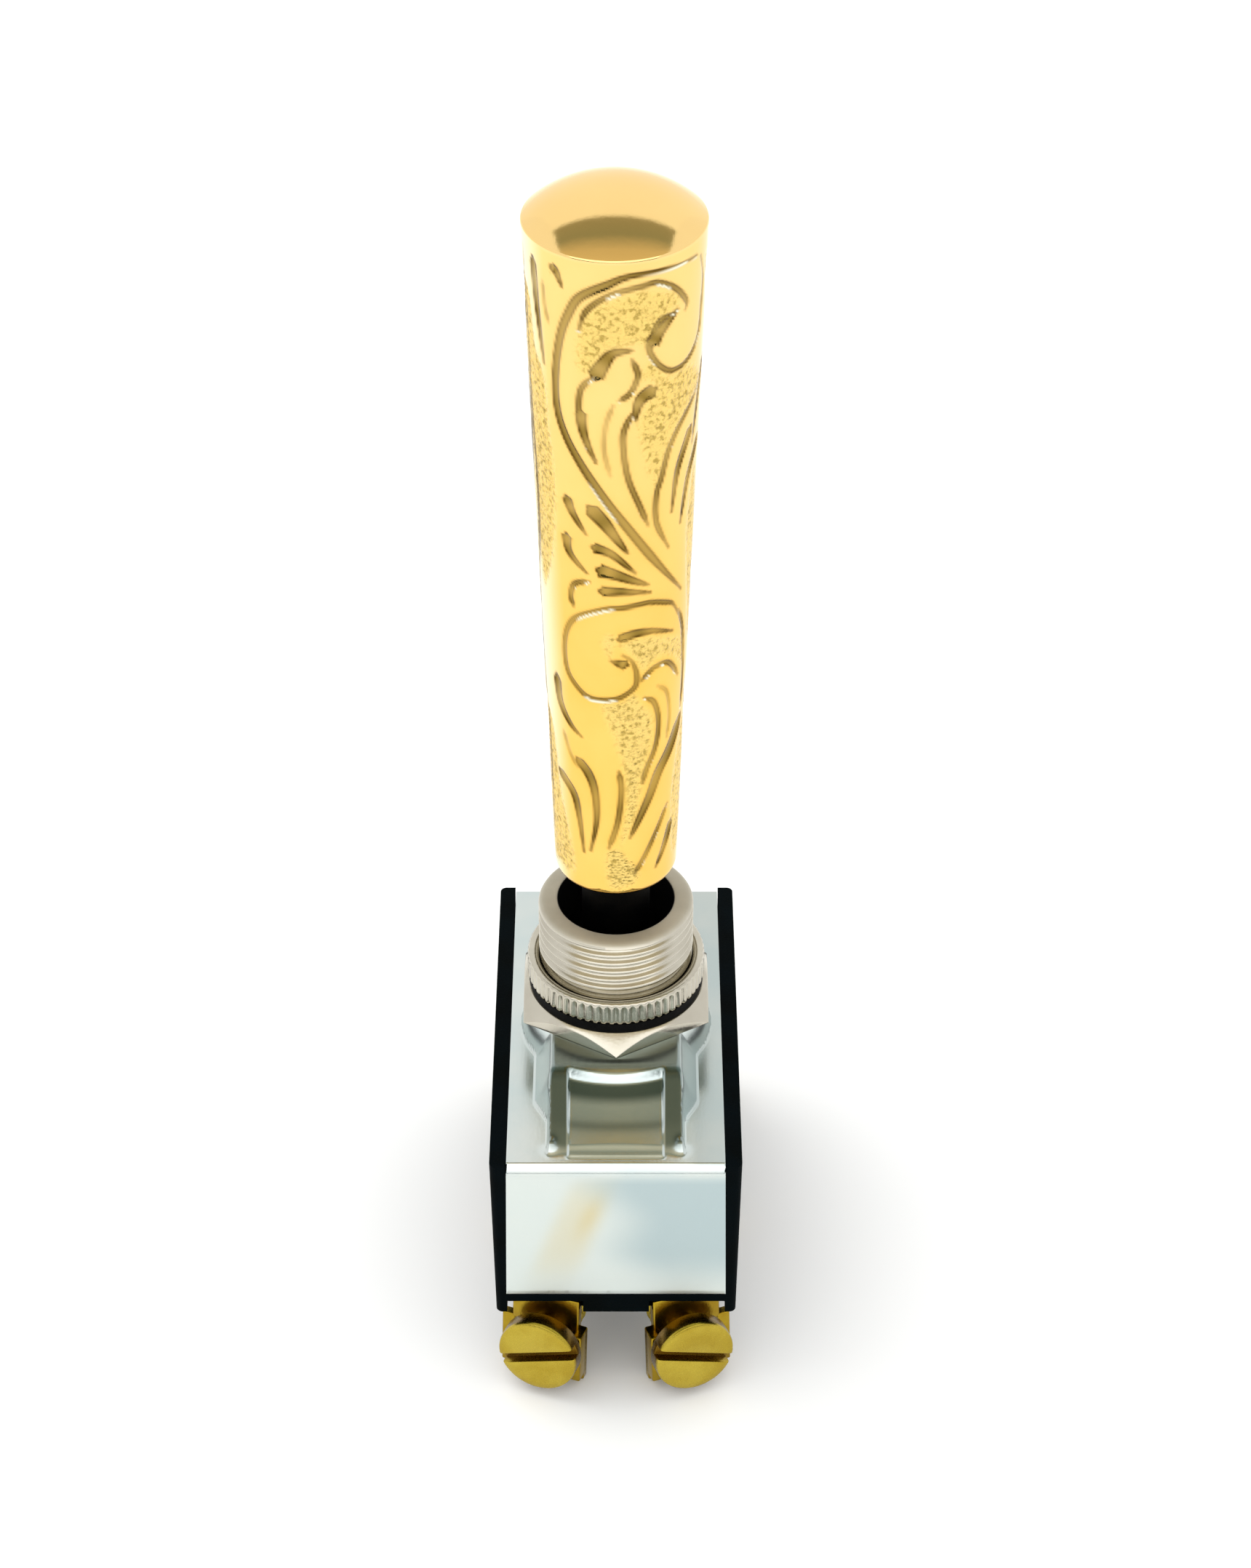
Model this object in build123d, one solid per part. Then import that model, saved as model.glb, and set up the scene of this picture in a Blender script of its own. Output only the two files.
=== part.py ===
from build123d import *
import os
from math import asin, cos, radians, sin, tan

# Heavy-duty double-pole toggle switch, centre off, with a long tapered handle.
# Millimetres. The origin is on the bushing's axis, in the plane of the frame's raised
# boss, where the hex nut sits. +Z runs up the bushing, Y runs along the case, X across it.

os.makedirs("parts", exist_ok=True)

# ---------------------------------------------------------------- driving dimensions
CLEARANCE = 0.05
FIT = 0.02

# steel frame and moulded case
CASE_LENGTH = 33.3
CASE_WIDTH_TOP = 19.05
CASE_WIDTH_BOTTOM = 18.56
FRAME_WIDTH_TOP = 16.5
FRAME_WIDTH_BOTTOM = 16.95
SHEET = 0.9
BEND_RADIUS = 0.6
STRIP_Z = -3.4
FRAME_BOTTOM_Z = -16.8
CASE_BOTTOM_Z = -19.0
FLOOR_Z = -17.6
CELL_HALF_WIDTH = 7.0
CELL_HALF_LENGTH = 13.8
BARRIER_WIDTH = 1.2
LINER = 0.4

# raised boss of the frame
BOSS_BASE_HALF_WIDTH = 6.2
BOSS_TOP_HALF_WIDTH = 4.9
BOSS_BASE_END = 15.4
BOSS_TOP_END = 9.4
BOSS_BASE_RADIUS = 7.4
BOSS_TOP_RADIUS = 7.0
RAMP_HALF_WIDTH = 3.6
RAMP_TOP_RADIUS = 9.8
RAMP_END = 15.8
RAMP_DEPTH = 0.6

# bushing, nuts and washer, 15/32-32 thread
THREAD_RADIUS = 5.95
BORE_RADIUS = 4.43
BUSHING_TOP = 9.24
NECK_RADIUS = 5.2
RELIEF_RADIUS = 5.5
RELIEF_HEIGHT = 0.6
FLANGE_RADIUS = 6.0
FLANGE_THICKNESS = 1.0
HEX_ACROSS_FLATS = 14.29
HEX_THICKNESS = 1.4
WASHER_THICKNESS = 0.7
KNURLED_RADIUS = 6.85
KNURLED_THICKNESS = 2.03

# lever and handle
PIVOT_Z = 3.6
PIN_RADIUS = 1.0
PIN_HALF_LENGTH = 5.2
BALL_RADIUS = 4.25
STEM_RADIUS = 2.6
LOWER_STEM_RADIUS = 2.4
HANDLE_BOTTOM_Z = 12.86
HANDLE_RIM_Z = 67.83
HANDLE_BOTTOM_RADIUS = 4.58
HANDLE_TOP_RADIUS = 6.33
HANDLE_DOME = 2.5
HANDLE_BORE_DEPTH = 11.0

# yoke, plungers and springs
POLE_X = 3.9
YOKE_TOP_Z = -5.8
YOKE_BOTTOM_Z = -9.4
YOKE_HALF_LENGTH = 6.3
YOKE_HALF_WIDTH = 2.2
PLUNGER_RADIUS = 1.2
PLUNGER_HEAD_Z = -7.9
PLUNGER_TIP_Z = -10.6
SPRING_TOP_Z = -6.3
SPRING_WIRE = 0.14
SPRING_TURNS = 5

# rockers, contacts
FULCRUM_Z = -12.6
FULCRUM_RADIUS = 0.4
ROCKER_WIDTH = 5.0
ROCKER_SADDLE_Z = -10.72
SADDLE_SLOPE = 8.0
ROCKER_DROP = 2.43
ROCKER_HALF_LENGTH = 12.0
CONTACT_Y = 10.3
CONTACT_RADIUS = 1.5
MOVING_CONTACT = 0.7
FIXED_CONTACT = 0.8

# terminals and their screws
BRASS = 0.8
PLATE_INNER = 3.0
PLATE_OUTER = 3.9
NECK_INNER = 2.45
NECK_OUTER = 3.05
LEG_OUTER = 1.4
STRIP_INNER = 2.4
STRIP_OUTER = 2.8
STRIP_END_Y = 15.4
NECK_BACK_Y = 14.6
NECK_INNER_X = 3.1
NECK_OUTER_X = 8.2
TERMINAL_BOTTOM_Z = -25.8
PLATE_TOP_Z = -20.65
PLATE_X = 5.3
PLATE_Y = -16.16
PLATE_Z = -22.0
CENTER_PLATE_Z = -22.4
TOE_OUT = 20.0
LEAN = 5.0
LIP = 0.9
LIP_FOOT_GAP = 0.5
NOTCH_OUTER_X = 8.45
SCREW_RADIUS = 1.7
SCREW_STANDOFF = 1.0
HEAD_RADIUS = 3.2
HEAD_THICKNESS = 1.6
SLOT_WIDTH = 0.85
SLOT_DEPTH = 0.8
SLOT_TURN = 20.0
SHANK_BEHIND = 3.4


# ---------------------------------------------------------------- small helpers
def block(x0, x1, y0, y1, z0, z1):
    """Axis-aligned block between two corners."""
    return Pos(x0, y0, z0) * Box(x1 - x0, y1 - y0, z1 - z0, align=(Align.MIN,) * 3)


def rod(radius, z0, z1, x=0.0, y=0.0):
    """Upright cylinder from z0 to z1."""
    align = (Align.CENTER, Align.CENTER, Align.MIN)
    return Pos(x, y, z0) * Cylinder(radius, z1 - z0, align=align)


def prism_across(points, half_width):
    """Y-Z outline carried across the case along X."""
    return extrude(Plane.YZ * Polygon(*points, align=None), amount=half_width, both=True)


def prism_along(points, half_length):
    """X-Z outline carried along the case in Y."""
    return extrude(Plane.XZ * Polygon(*points, align=None), amount=half_length, both=True)


def trapezoid(top_half, top_z, bottom_half, bottom_z):
    """Symmetric four-sided outline, wider or narrower at its foot."""
    return [(-top_half, top_z), (top_half, top_z), (bottom_half, bottom_z), (-bottom_half, bottom_z)]


def save(shape, node):
    """Write one sub-part."""
    export_step(shape, f"parts/{node}.step")


# ---------------------------------------------------------------- top frame
LEDGE_Z = STRIP_Z - SHEET
FLANGE_INNER_Y = CASE_LENGTH / 2 - SHEET


def boss(inset):
    """Raised boss: a long hump with sloping ends, joined to a round seat for the bushing."""
    end_inset = inset * 1.6
    top_z = -inset
    base_z = STRIP_Z - inset
    ends = trapezoid(BOSS_TOP_END - end_inset, top_z, BOSS_BASE_END - end_inset, base_z)
    sides = trapezoid(BOSS_TOP_HALF_WIDTH - inset, top_z, BOSS_BASE_HALF_WIDTH - inset, base_z)
    hump = prism_across(ends, 10) & prism_along(sides, 20)
    seat = Pos(0, 0, (top_z + base_z) / 2) * Cone(BOSS_BASE_RADIUS - inset, BOSS_TOP_RADIUS - inset,
                                                  top_z - base_z)
    return hump + seat


def ramp_recess():
    """Coined panel sunk a little into the hump's near sloping end, starting on an arc."""
    outline = [
        (-RAMP_END, STRIP_Z),
        (-BOSS_TOP_END + 1.0, 0.6 - RAMP_DEPTH),
        (-BOSS_TOP_END + 1.0, 2.0),
        (-RAMP_END, 2.0),
    ]
    return prism_across(outline, RAMP_HALF_WIDTH) - rod(RAMP_TOP_RADIUS, STRIP_Z, 3)


def top_frame():
    width_half = FRAME_WIDTH_TOP / 2
    strips = block(-width_half, width_half, -CASE_LENGTH / 2, CASE_LENGTH / 2, LEDGE_Z, STRIP_Z)
    ends = prism_along(trapezoid(width_half, STRIP_Z, FRAME_WIDTH_BOTTOM / 2, FRAME_BOTTOM_Z),
                       CASE_LENGTH / 2)
    ends -= block(-20, 20, -FLANGE_INNER_Y, FLANGE_INNER_Y, -30, LEDGE_Z)
    channel = fillet((strips + ends).edges().filter_by(Axis.X).group_by(Axis.Z)[-1], BEND_RADIUS)
    recess = ramp_recess()
    raised = boss(0) - recess - mirror(recess, about=Plane.XZ)
    sheet = channel + raised - boss(SHEET)
    return sheet - rod(NECK_RADIUS, LEDGE_Z, 1)


# ---------------------------------------------------------------- case and liner
def toed_out(x_side, y_side, shape):
    """Turn a shape made upright at the plate's centre into one corner's leaning plate."""
    placed = Pos(PLATE_X, PLATE_Y, PLATE_Z) * Rot(0, 0, TOE_OUT) * Rot(-LEAN, 0, 0) * shape
    if y_side > 0:
        placed = mirror(placed, about=Plane.XZ)
    if x_side < 0:
        placed = mirror(placed, about=Plane.YZ)
    return placed


def strip_slot(x_side, y_side, gap):
    """Flat run of an end terminal, from its contact out through the case's end wall."""
    outer_x = POLE_X + STRIP_OUTER + gap
    inner = block(POLE_X - STRIP_INNER - gap, outer_x, -CELL_HALF_LENGTH + 0.1 - gap, -8.0 + gap,
                  FLOOR_Z - BRASS, FLOOR_Z)
    through = block(NECK_INNER_X - gap, outer_x, -STRIP_END_Y, -CELL_HALF_LENGTH + 0.2,
                    FLOOR_Z - BRASS, FLOOR_Z)
    run = inner + through
    if y_side > 0:
        run = mirror(run, about=Plane.XZ)
    if x_side < 0:
        run = mirror(run, about=Plane.YZ)
    return run


def notch():
    """Pocket under the case's end where a terminal plate stands, in the plate's own turn."""
    return block(-NECK_INNER - 0.3, NECK_OUTER + 0.5, -3.0, BRASS + 0.2, -2.0, FLOOR_Z - PLATE_Z + 2)


def base_housing():
    outer = prism_along(trapezoid(CASE_WIDTH_TOP / 2, STRIP_Z, CASE_WIDTH_BOTTOM / 2, CASE_BOTTOM_Z),
                        CASE_LENGTH / 2)
    corner_edges = outer.edges().filter_by(lambda e: abs(e.tangent_at(0.5).Z) > 0.9)
    outer = fillet(corner_edges, 0.5)
    outer = chamfer(outer.faces().sort_by(Axis.Z)[0].edges(), 0.25)
    ledge = LEDGE_Z - LINER
    gap_top = FRAME_WIDTH_TOP / 2 + CLEARANCE
    gap_low = FRAME_WIDTH_BOTTOM / 2 + CLEARANCE
    body = outer - block(-gap_top, gap_top, -20, 20, ledge, 1)
    for side in (-1, 1):
        recess = prism_along(trapezoid(gap_top, STRIP_Z + 1, gap_low, FRAME_BOTTOM_Z - CLEARANCE), 2)
        body -= Pos(0, side * (FLANGE_INNER_Y - CLEARANCE + 2), 0) * recess
    for side in (-1, 1):
        low, high = sorted((side * BARRIER_WIDTH / 2, side * CELL_HALF_WIDTH))
        body -= block(low, high, -CELL_HALF_LENGTH, CELL_HALF_LENGTH, FLOOR_Z, 1)
    body -= block(-CELL_HALF_WIDTH, CELL_HALF_WIDTH, -8, 8, YOKE_BOTTOM_Z - 0.8, 1)
    for x_side in (-1, 1):
        low, high = sorted((x_side * (NECK_INNER_X - 0.1), x_side * (POLE_X + STRIP_OUTER + 0.1)))
        body -= block(low, high, -BRASS / 2 - FIT, BRASS / 2 + FIT, -20, FLOOR_Z + 1)
        for y_side in (-1, 1):
            body -= strip_slot(x_side, y_side, FIT)
            pocket = toed_out(x_side, y_side, notch())
            body -= pocket & block(-NOTCH_OUTER_X, NOTCH_OUTER_X, -20, 20, -25, FLOOR_Z)
            low, high = sorted((x_side * (NECK_INNER_X - FIT), x_side * (NECK_OUTER_X + FIT)))
            near, far = sorted((y_side * (NECK_BACK_Y - FIT), y_side * (CASE_LENGTH / 2 + 0.4)))
            body -= block(low, high, near, far, FLOOR_Z - BRASS, FLOOR_Z)
    return body


def insulator_liner():
    half = FRAME_WIDTH_TOP / 2 - 0.1
    sheet = block(-half, half, -FLANGE_INNER_Y + 0.1, FLANGE_INNER_Y - 0.1, LEDGE_Z - LINER, LEDGE_Z)
    return sheet - block(-3.2, 3.2, -5.0, 5.0, -6, -3)


# ---------------------------------------------------------------- bushing and its hardware
WASHER_Z = HEX_THICKNESS
KNURLED_Z = WASHER_Z + WASHER_THICKNESS
KNURLED_TOP = KNURLED_Z + KNURLED_THICKNESS
FLANGE_Z = -SHEET - FLANGE_THICKNESS


def bushing():
    outer = rod(FLANGE_RADIUS, FLANGE_Z, -SHEET) + rod(NECK_RADIUS, -SHEET, 0)
    outer += rod(THREAD_RADIUS, 0, BUSHING_TOP)
    outer = chamfer(outer.edges().group_by(Axis.Z)[-1], 0.3)
    relief = rod(THREAD_RADIUS + 1, KNURLED_TOP, KNURLED_TOP + RELIEF_HEIGHT)
    outer -= relief - rod(RELIEF_RADIUS, KNURLED_TOP, KNURLED_TOP + RELIEF_HEIGHT)
    outer -= rod(BORE_RADIUS, FLANGE_Z - 1, BUSHING_TOP + 1)
    pin_hole = Pos(0, 0, PIVOT_Z) * Rot(0, 90, 0) * Cylinder(PIN_RADIUS, 2 * PIN_HALF_LENGTH)
    return outer - pin_hole


def pivot_pin():
    return Pos(0, 0, PIVOT_Z) * Rot(0, 90, 0) * Cylinder(PIN_RADIUS, 2 * PIN_HALF_LENGTH)


def hex_nut():
    corner_radius = HEX_ACROSS_FLATS / 2 / cos(radians(30))
    nut = extrude(Rot(0, 0, 90) * RegularPolygon(corner_radius, 6), HEX_THICKNESS)
    cone_foot = corner_radius + 0.05
    crown = Pos(0, 0, HEX_THICKNESS / 2) * Cone(cone_foot + HEX_THICKNESS * 1.2, cone_foot - 1.0,
                                                HEX_THICKNESS)
    return (nut & crown) - rod(THREAD_RADIUS + FIT, -1, HEX_THICKNESS + 1)


def sealing_washer():
    disc = rod(KNURLED_RADIUS - 0.1, WASHER_Z, KNURLED_Z)
    return disc - rod(THREAD_RADIUS + FIT, WASHER_Z - 1, KNURLED_Z + 1)


def knurled_nut():
    ring = rod(KNURLED_RADIUS, KNURLED_Z, KNURLED_TOP)
    ring = chamfer(ring.edges().filter_by(GeomType.CIRCLE), 0.15)
    ring -= rod(THREAD_RADIUS + FIT, KNURLED_Z - 1, KNURLED_TOP + 1)
    return chamfer(ring.edges().group_by(Axis.Z)[-1].sort_by(SortBy.RADIUS)[0], 0.3)


# ---------------------------------------------------------------- lever, yoke and handle
def lever():
    body = Pos(0, 0, PIVOT_Z) * Sphere(BALL_RADIUS)
    body += rod(STEM_RADIUS, PIVOT_Z, HANDLE_BOTTOM_Z + HANDLE_BORE_DEPTH - 0.6)
    body += rod(LOWER_STEM_RADIUS, YOKE_BOTTOM_Z + 0.6, PIVOT_Z)
    body -= Pos(0, 0, PIVOT_Z) * Rot(0, 90, 0) * Cylinder(PIN_RADIUS + CLEARANCE, 12)
    return body


def actuator_yoke():
    body = block(-YOKE_HALF_LENGTH, YOKE_HALF_LENGTH, -YOKE_HALF_WIDTH, YOKE_HALF_WIDTH,
                 YOKE_BOTTOM_Z, YOKE_TOP_Z)
    body = fillet(body.edges().filter_by(Axis.Z), 0.6)
    body -= rod(LOWER_STEM_RADIUS, YOKE_BOTTOM_Z + 0.6, 0)
    for side in (-1, 1):
        body -= rod(PLUNGER_RADIUS + CLEARANCE, YOKE_BOTTOM_Z - 1, SPRING_TOP_Z, x=side * POLE_X)
    return body


def plunger(side):
    foot = PLUNGER_TIP_Z + PLUNGER_RADIUS
    body = rod(PLUNGER_RADIUS, foot, PLUNGER_HEAD_Z, x=side * POLE_X)
    return body + Pos(side * POLE_X, 0, foot) * Sphere(PLUNGER_RADIUS)


def spring(side):
    """Helix between the yoke's pocket and the plunger's head, its wire clear of both."""
    foot = PLUNGER_HEAD_Z + SPRING_WIRE
    height = SPRING_TOP_Z - SPRING_WIRE - foot
    coil = Helix(height / SPRING_TURNS, height, PLUNGER_RADIUS - 2 * SPRING_WIRE)
    section = Plane(origin=coil @ 0, z_dir=coil % 0) * Circle(SPRING_WIRE)
    return Pos(side * POLE_X, 0, foot) * sweep(section, path=coil, is_frenet=True)


def handle():
    """Tapered round handle with a domed end, threaded onto the lever's stem."""
    dome_top = HANDLE_RIM_Z + HANDLE_DOME
    foot = HANDLE_BOTTOM_Z
    fillet_radius = 0.7
    side_low = HANDLE_BOTTOM_RADIUS + fillet_radius * (HANDLE_TOP_RADIUS - HANDLE_BOTTOM_RADIUS) / (
        HANDLE_RIM_Z - foot)
    base = Line((0, foot), (HANDLE_BOTTOM_RADIUS - fillet_radius, foot))
    corner = ThreePointArc(
        (HANDLE_BOTTOM_RADIUS - fillet_radius, foot),
        (HANDLE_BOTTOM_RADIUS - fillet_radius * (1 - sin(radians(45))),
         foot + fillet_radius * (1 - cos(radians(45)))),
        (side_low, foot + fillet_radius),
    )
    flank = Line((side_low, foot + fillet_radius), (HANDLE_TOP_RADIUS, HANDLE_RIM_Z))
    sphere_radius = (HANDLE_TOP_RADIUS ** 2 + HANDLE_DOME ** 2) / (2 * HANDLE_DOME)
    dome_centre_z = dome_top - sphere_radius
    half_angle = asin(HANDLE_TOP_RADIUS / sphere_radius) / 2
    dome = ThreePointArc(
        (HANDLE_TOP_RADIUS, HANDLE_RIM_Z),
        (sphere_radius * sin(half_angle), dome_centre_z + sphere_radius * cos(half_angle)),
        (0, dome_top),
    )
    axis_line = Line((0, dome_top), (0, foot))
    profile = make_face(Plane.XZ * Curve([base, corner, flank, dome, axis_line]))
    body = revolve(profile, axis=Axis.Z)
    return body - rod(STEM_RADIUS, foot - 1, foot + HANDLE_BORE_DEPTH)


# ---------------------------------------------------------------- rockers and contacts
def rocker(side):
    """Brass rocking bar with a shallow saddle for the plunger and a groove for its fulcrum."""
    rise = 4.2 * tan(radians(SADDLE_SLOPE))
    end, flat_foot = ROCKER_HALF_LENGTH, FULCRUM_Z - ROCKER_DROP
    right = [
        (4.2, ROCKER_SADDLE_Z + rise),
        (4.9, ROCKER_SADDLE_Z + rise),
        (5.4, FULCRUM_Z + BRASS),
        (8.7, flat_foot + BRASS),
        (end, flat_foot + BRASS),
        (end, flat_foot),
        (8.4, flat_foot),
        (4.8, FULCRUM_Z),
    ]
    left = [(-y, z) for y, z in reversed(right)]
    outline = [(0, ROCKER_SADDLE_Z)] + right + left
    bar = Pos(side * POLE_X, 0, 0) * prism_across(outline, ROCKER_WIDTH / 2)
    groove = Pos(side * POLE_X, 0, FULCRUM_Z) * Rot(0, 90, 0) * Cylinder(FULCRUM_RADIUS + CLEARANCE, 10)
    return bar - groove


def moving_contacts(side):
    """Contact rivets under the two ends of a rocker."""
    top = FULCRUM_Z - ROCKER_DROP
    return [rod(CONTACT_RADIUS, top - MOVING_CONTACT, top, x=side * POLE_X, y=end * CONTACT_Y)
            for end in (-1, 1)]


def fixed_contact(x_side, y_side):
    button = rod(CONTACT_RADIUS + 0.1, FLOOR_Z, FLOOR_Z + FIXED_CONTACT, x=x_side * POLE_X,
                 y=y_side * CONTACT_Y)
    return chamfer(button.edges().group_by(Axis.Z)[-1], 0.15)


# ---------------------------------------------------------------- terminals and screws
def plate(height_top, height_bottom, neck_inner, neck_outer, neck_top):
    """Upright plate and its neck in their own frame: face on Y = 0, tapped hole at the origin."""
    shape = block(-PLATE_INNER, PLATE_OUTER, 0, BRASS, height_bottom, height_top)
    shape += block(-neck_inner, neck_outer, 0, BRASS, height_top - 0.5, neck_top)
    shape += block(-PLATE_INNER, -PLATE_INNER + BRASS, -LIP, BRASS, height_bottom + LIP_FOOT_GAP, height_top)
    return shape - Rot(90, 0, 0) * Cylinder(SCREW_RADIUS, 6)


def end_terminal(x_side, y_side):
    """Flat run through the end wall, bent down into a toed-out plate with a wire lip."""
    shape = plate(PLATE_TOP_Z - PLATE_Z, -6.0, NECK_INNER, NECK_OUTER, FLOOR_Z - PLATE_Z + 2)
    upright = toed_out(1, -1, shape)
    head = block(NECK_INNER_X, NECK_OUTER_X, -20, -NECK_BACK_Y, FLOOR_Z - BRASS, FLOOR_Z)
    head &= toed_out(1, -1, block(-NECK_INNER, NECK_OUTER, 0, 6, -8, 8))
    keep = block(-20, 20, -25, 25, TERMINAL_BOTTOM_Z, FLOOR_Z)
    body = ((upright + head) & keep) + strip_slot(1, -1, 0)
    if y_side > 0:
        body = mirror(body, about=Plane.XZ)
    if x_side < 0:
        body = mirror(body, about=Plane.YZ)
    return body


def center_terminal(side):
    """Upright brass leg: fulcrum on top, plate and screw below the case."""
    shape = plate(PLATE_TOP_Z - CENTER_PLATE_Z, TERMINAL_BOTTOM_Z - CENTER_PLATE_Z,
                  PLATE_X - NECK_INNER_X, LEG_OUTER, FULCRUM_Z - CENTER_PLATE_Z)
    body = Pos(PLATE_X, -BRASS / 2, CENTER_PLATE_Z) * shape
    body += Pos(PLATE_X - 0.4, 0, FULCRUM_Z) * Rot(0, 90, 0) * Cylinder(FULCRUM_RADIUS, 3.6)
    if side < 0:
        body = mirror(body, about=Plane.YZ)
    return body


def terminal_screw():
    """Slotted binding-head screw in the plate's own frame, backed out to take a wire."""
    shank = Rot(90, 0, 0) * rod(SCREW_RADIUS, -BRASS - SHANK_BEHIND, SCREW_STANDOFF)
    head = rod(HEAD_RADIUS, SCREW_STANDOFF, SCREW_STANDOFF + HEAD_THICKNESS)
    head = fillet(head.edges().group_by(Axis.Z)[-1], 0.25)
    slot_z = SCREW_STANDOFF + HEAD_THICKNESS - SLOT_DEPTH
    slot = block(-5, 5, -SLOT_WIDTH / 2, SLOT_WIDTH / 2, slot_z, slot_z + 2)
    head -= Rot(0, 0, -SLOT_TURN) * slot
    return shank + Rot(90, 0, 0) * head


def terminal_screws():
    screws = [toed_out(x, y, terminal_screw()) for x in (-1, 1) for y in (-1, 1)]
    screws.append(Pos(PLATE_X, -BRASS / 2, CENTER_PLATE_Z) * terminal_screw())
    screws.append(mirror(screws[-1], about=Plane.YZ))
    return screws


# ---------------------------------------------------------------- write the sub-parts
save(top_frame(), "top_frame")
save(base_housing(), "base_housing")
save(insulator_liner(), "insulator_liner")
save(bushing(), "bushing")
save(pivot_pin(), "pivot_pin")
save(hex_nut(), "hex_nut")
save(sealing_washer(), "sealing_washer")
save(knurled_nut(), "knurled_nut")
save(lever(), "lever")
save(actuator_yoke(), "actuator_yoke")
save(handle(), "handle")
for side, side_name in ((-1, "left"), (1, "right")):
    save(plunger(side), f"plunger_{side_name}")
    save(spring(side), f"spring_{side_name}")
    save(rocker(side), f"rocker_{side_name}")
    save(Compound(moving_contacts(side)), f"moving_contacts_{side_name}")
    save(center_terminal(side), f"center_terminal_{side_name}")
    for end, end_name in ((-1, "front"), (1, "rear")):
        save(end_terminal(side, end), f"end_terminal_{end_name}_{side_name}")
        save(fixed_contact(side, end), f"fixed_contact_{end_name}_{side_name}")
save(Compound(terminal_screws()), "terminal_screws")
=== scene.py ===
from math import asin, cos, pi, radians, sin

import bmesh
import bpy
import numpy as np
from mathutils import Matrix, Vector


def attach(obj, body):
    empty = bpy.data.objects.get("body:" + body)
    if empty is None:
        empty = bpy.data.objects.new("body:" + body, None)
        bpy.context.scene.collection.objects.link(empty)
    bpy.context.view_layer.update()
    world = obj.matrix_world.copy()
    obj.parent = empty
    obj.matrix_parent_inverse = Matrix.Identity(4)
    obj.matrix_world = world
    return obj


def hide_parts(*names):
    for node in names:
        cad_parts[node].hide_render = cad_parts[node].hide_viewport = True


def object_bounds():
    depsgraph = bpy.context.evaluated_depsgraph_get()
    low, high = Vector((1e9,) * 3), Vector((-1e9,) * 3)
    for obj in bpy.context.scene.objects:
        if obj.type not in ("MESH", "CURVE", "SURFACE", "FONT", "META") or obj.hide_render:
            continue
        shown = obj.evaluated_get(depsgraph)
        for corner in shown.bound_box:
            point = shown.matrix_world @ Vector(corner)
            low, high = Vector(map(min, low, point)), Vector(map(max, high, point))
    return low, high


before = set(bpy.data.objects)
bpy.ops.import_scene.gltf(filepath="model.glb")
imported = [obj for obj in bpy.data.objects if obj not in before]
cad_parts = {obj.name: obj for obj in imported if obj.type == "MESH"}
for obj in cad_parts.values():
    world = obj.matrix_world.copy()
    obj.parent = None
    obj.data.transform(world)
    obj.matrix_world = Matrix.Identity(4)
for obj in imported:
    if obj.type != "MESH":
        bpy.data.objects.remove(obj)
cad_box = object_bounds()

# ================================================================ studio
# Plain pale table, a white surround, and a dull ceiling opening that polished metal picks up.
# One large soft lamp stands behind and to the left, so the shade falls softly to the right.
MM = 0.001
# The camera's place is in mm; the lamp's place and target are in metres.
CAMERA_PLACE = (0.735, -214.2, 184.1)
CAMERA_BELOW_LEVEL = 37.44
CAMERA_LENS = 82.84
LAMP_PLACE = (-0.30, 0.12, 0.55)
LAMP_TARGET = (0, 0, 0.02)
scene = bpy.context.scene
scene.view_settings.view_transform = "Standard"
bpy.ops.object.select_all(action="DESELECT")
camera_data = bpy.data.cameras.new("camera")
camera_data.sensor_width = 36.0
camera_data.lens = CAMERA_LENS
camera_data.clip_start = 0.01
camera = bpy.data.objects.new("camera", camera_data)
camera.location = [c * MM for c in CAMERA_PLACE]
camera.rotation_euler = (radians(90 - CAMERA_BELOW_LEVEL), 0, 0)
scene.collection.objects.link(camera)
scene.camera = camera

world = bpy.data.worlds.new("studio")
scene.world = world
world.use_nodes = True
sky = world.node_tree
sky.nodes.clear()


def sky_math(operation, *inputs):
    """Math node in the sky; each input is a number or another node's output."""
    node = sky.nodes.new("ShaderNodeMath")
    node.operation = operation
    for socket, given in zip(node.inputs, inputs):
        if isinstance(given, (int, float)):
            socket.default_value = given
        else:
            sky.links.new(given, socket)
    return node.outputs[0]


# from the horizon behind the object (0), over the ceiling (0.5), to the horizon in front (1)
OVERHEAD = [
    (0.00, (1.04, 1.04, 1.03)),
    (0.385, (1.04, 1.04, 1.03)),
    (0.410, (0.33, 0.32, 0.23)),
    (0.50, (0.29, 0.30, 0.22)),
    (0.58, (0.64, 0.56, 0.38)),
    (0.690, (0.74, 0.64, 0.43)),
    (0.715, (1.90, 1.90, 1.90)),
    (0.86, (1.70, 1.70, 1.70)),
    (0.96, (1.30, 1.30, 1.30)),
    (0.975, (0.05, 0.08, 0.08)),
]
BAND_CURVE = 0.103
WALL_LEAN = -0.2
WALL_EDGE = (0.56, 0.59)
direction = sky.nodes.new("ShaderNodeTexCoord")
split = sky.nodes.new("ShaderNodeSeparateXYZ")
sky.links.new(direction.outputs["Generated"], split.inputs["Vector"])
sideways, back, up = split.outputs
turns = sky_math("DIVIDE", sky_math("ARCTAN2", up, back), pi)
overhead = sky.nodes.new("ShaderNodeValToRGB")
ramp = overhead.color_ramp
while len(ramp.elements) < len(OVERHEAD):
    ramp.elements.new(1.0)
for stop, (place, colour) in zip(ramp.elements, OVERHEAD):
    stop.position = place
    stop.color = (*colour, 1)
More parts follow.
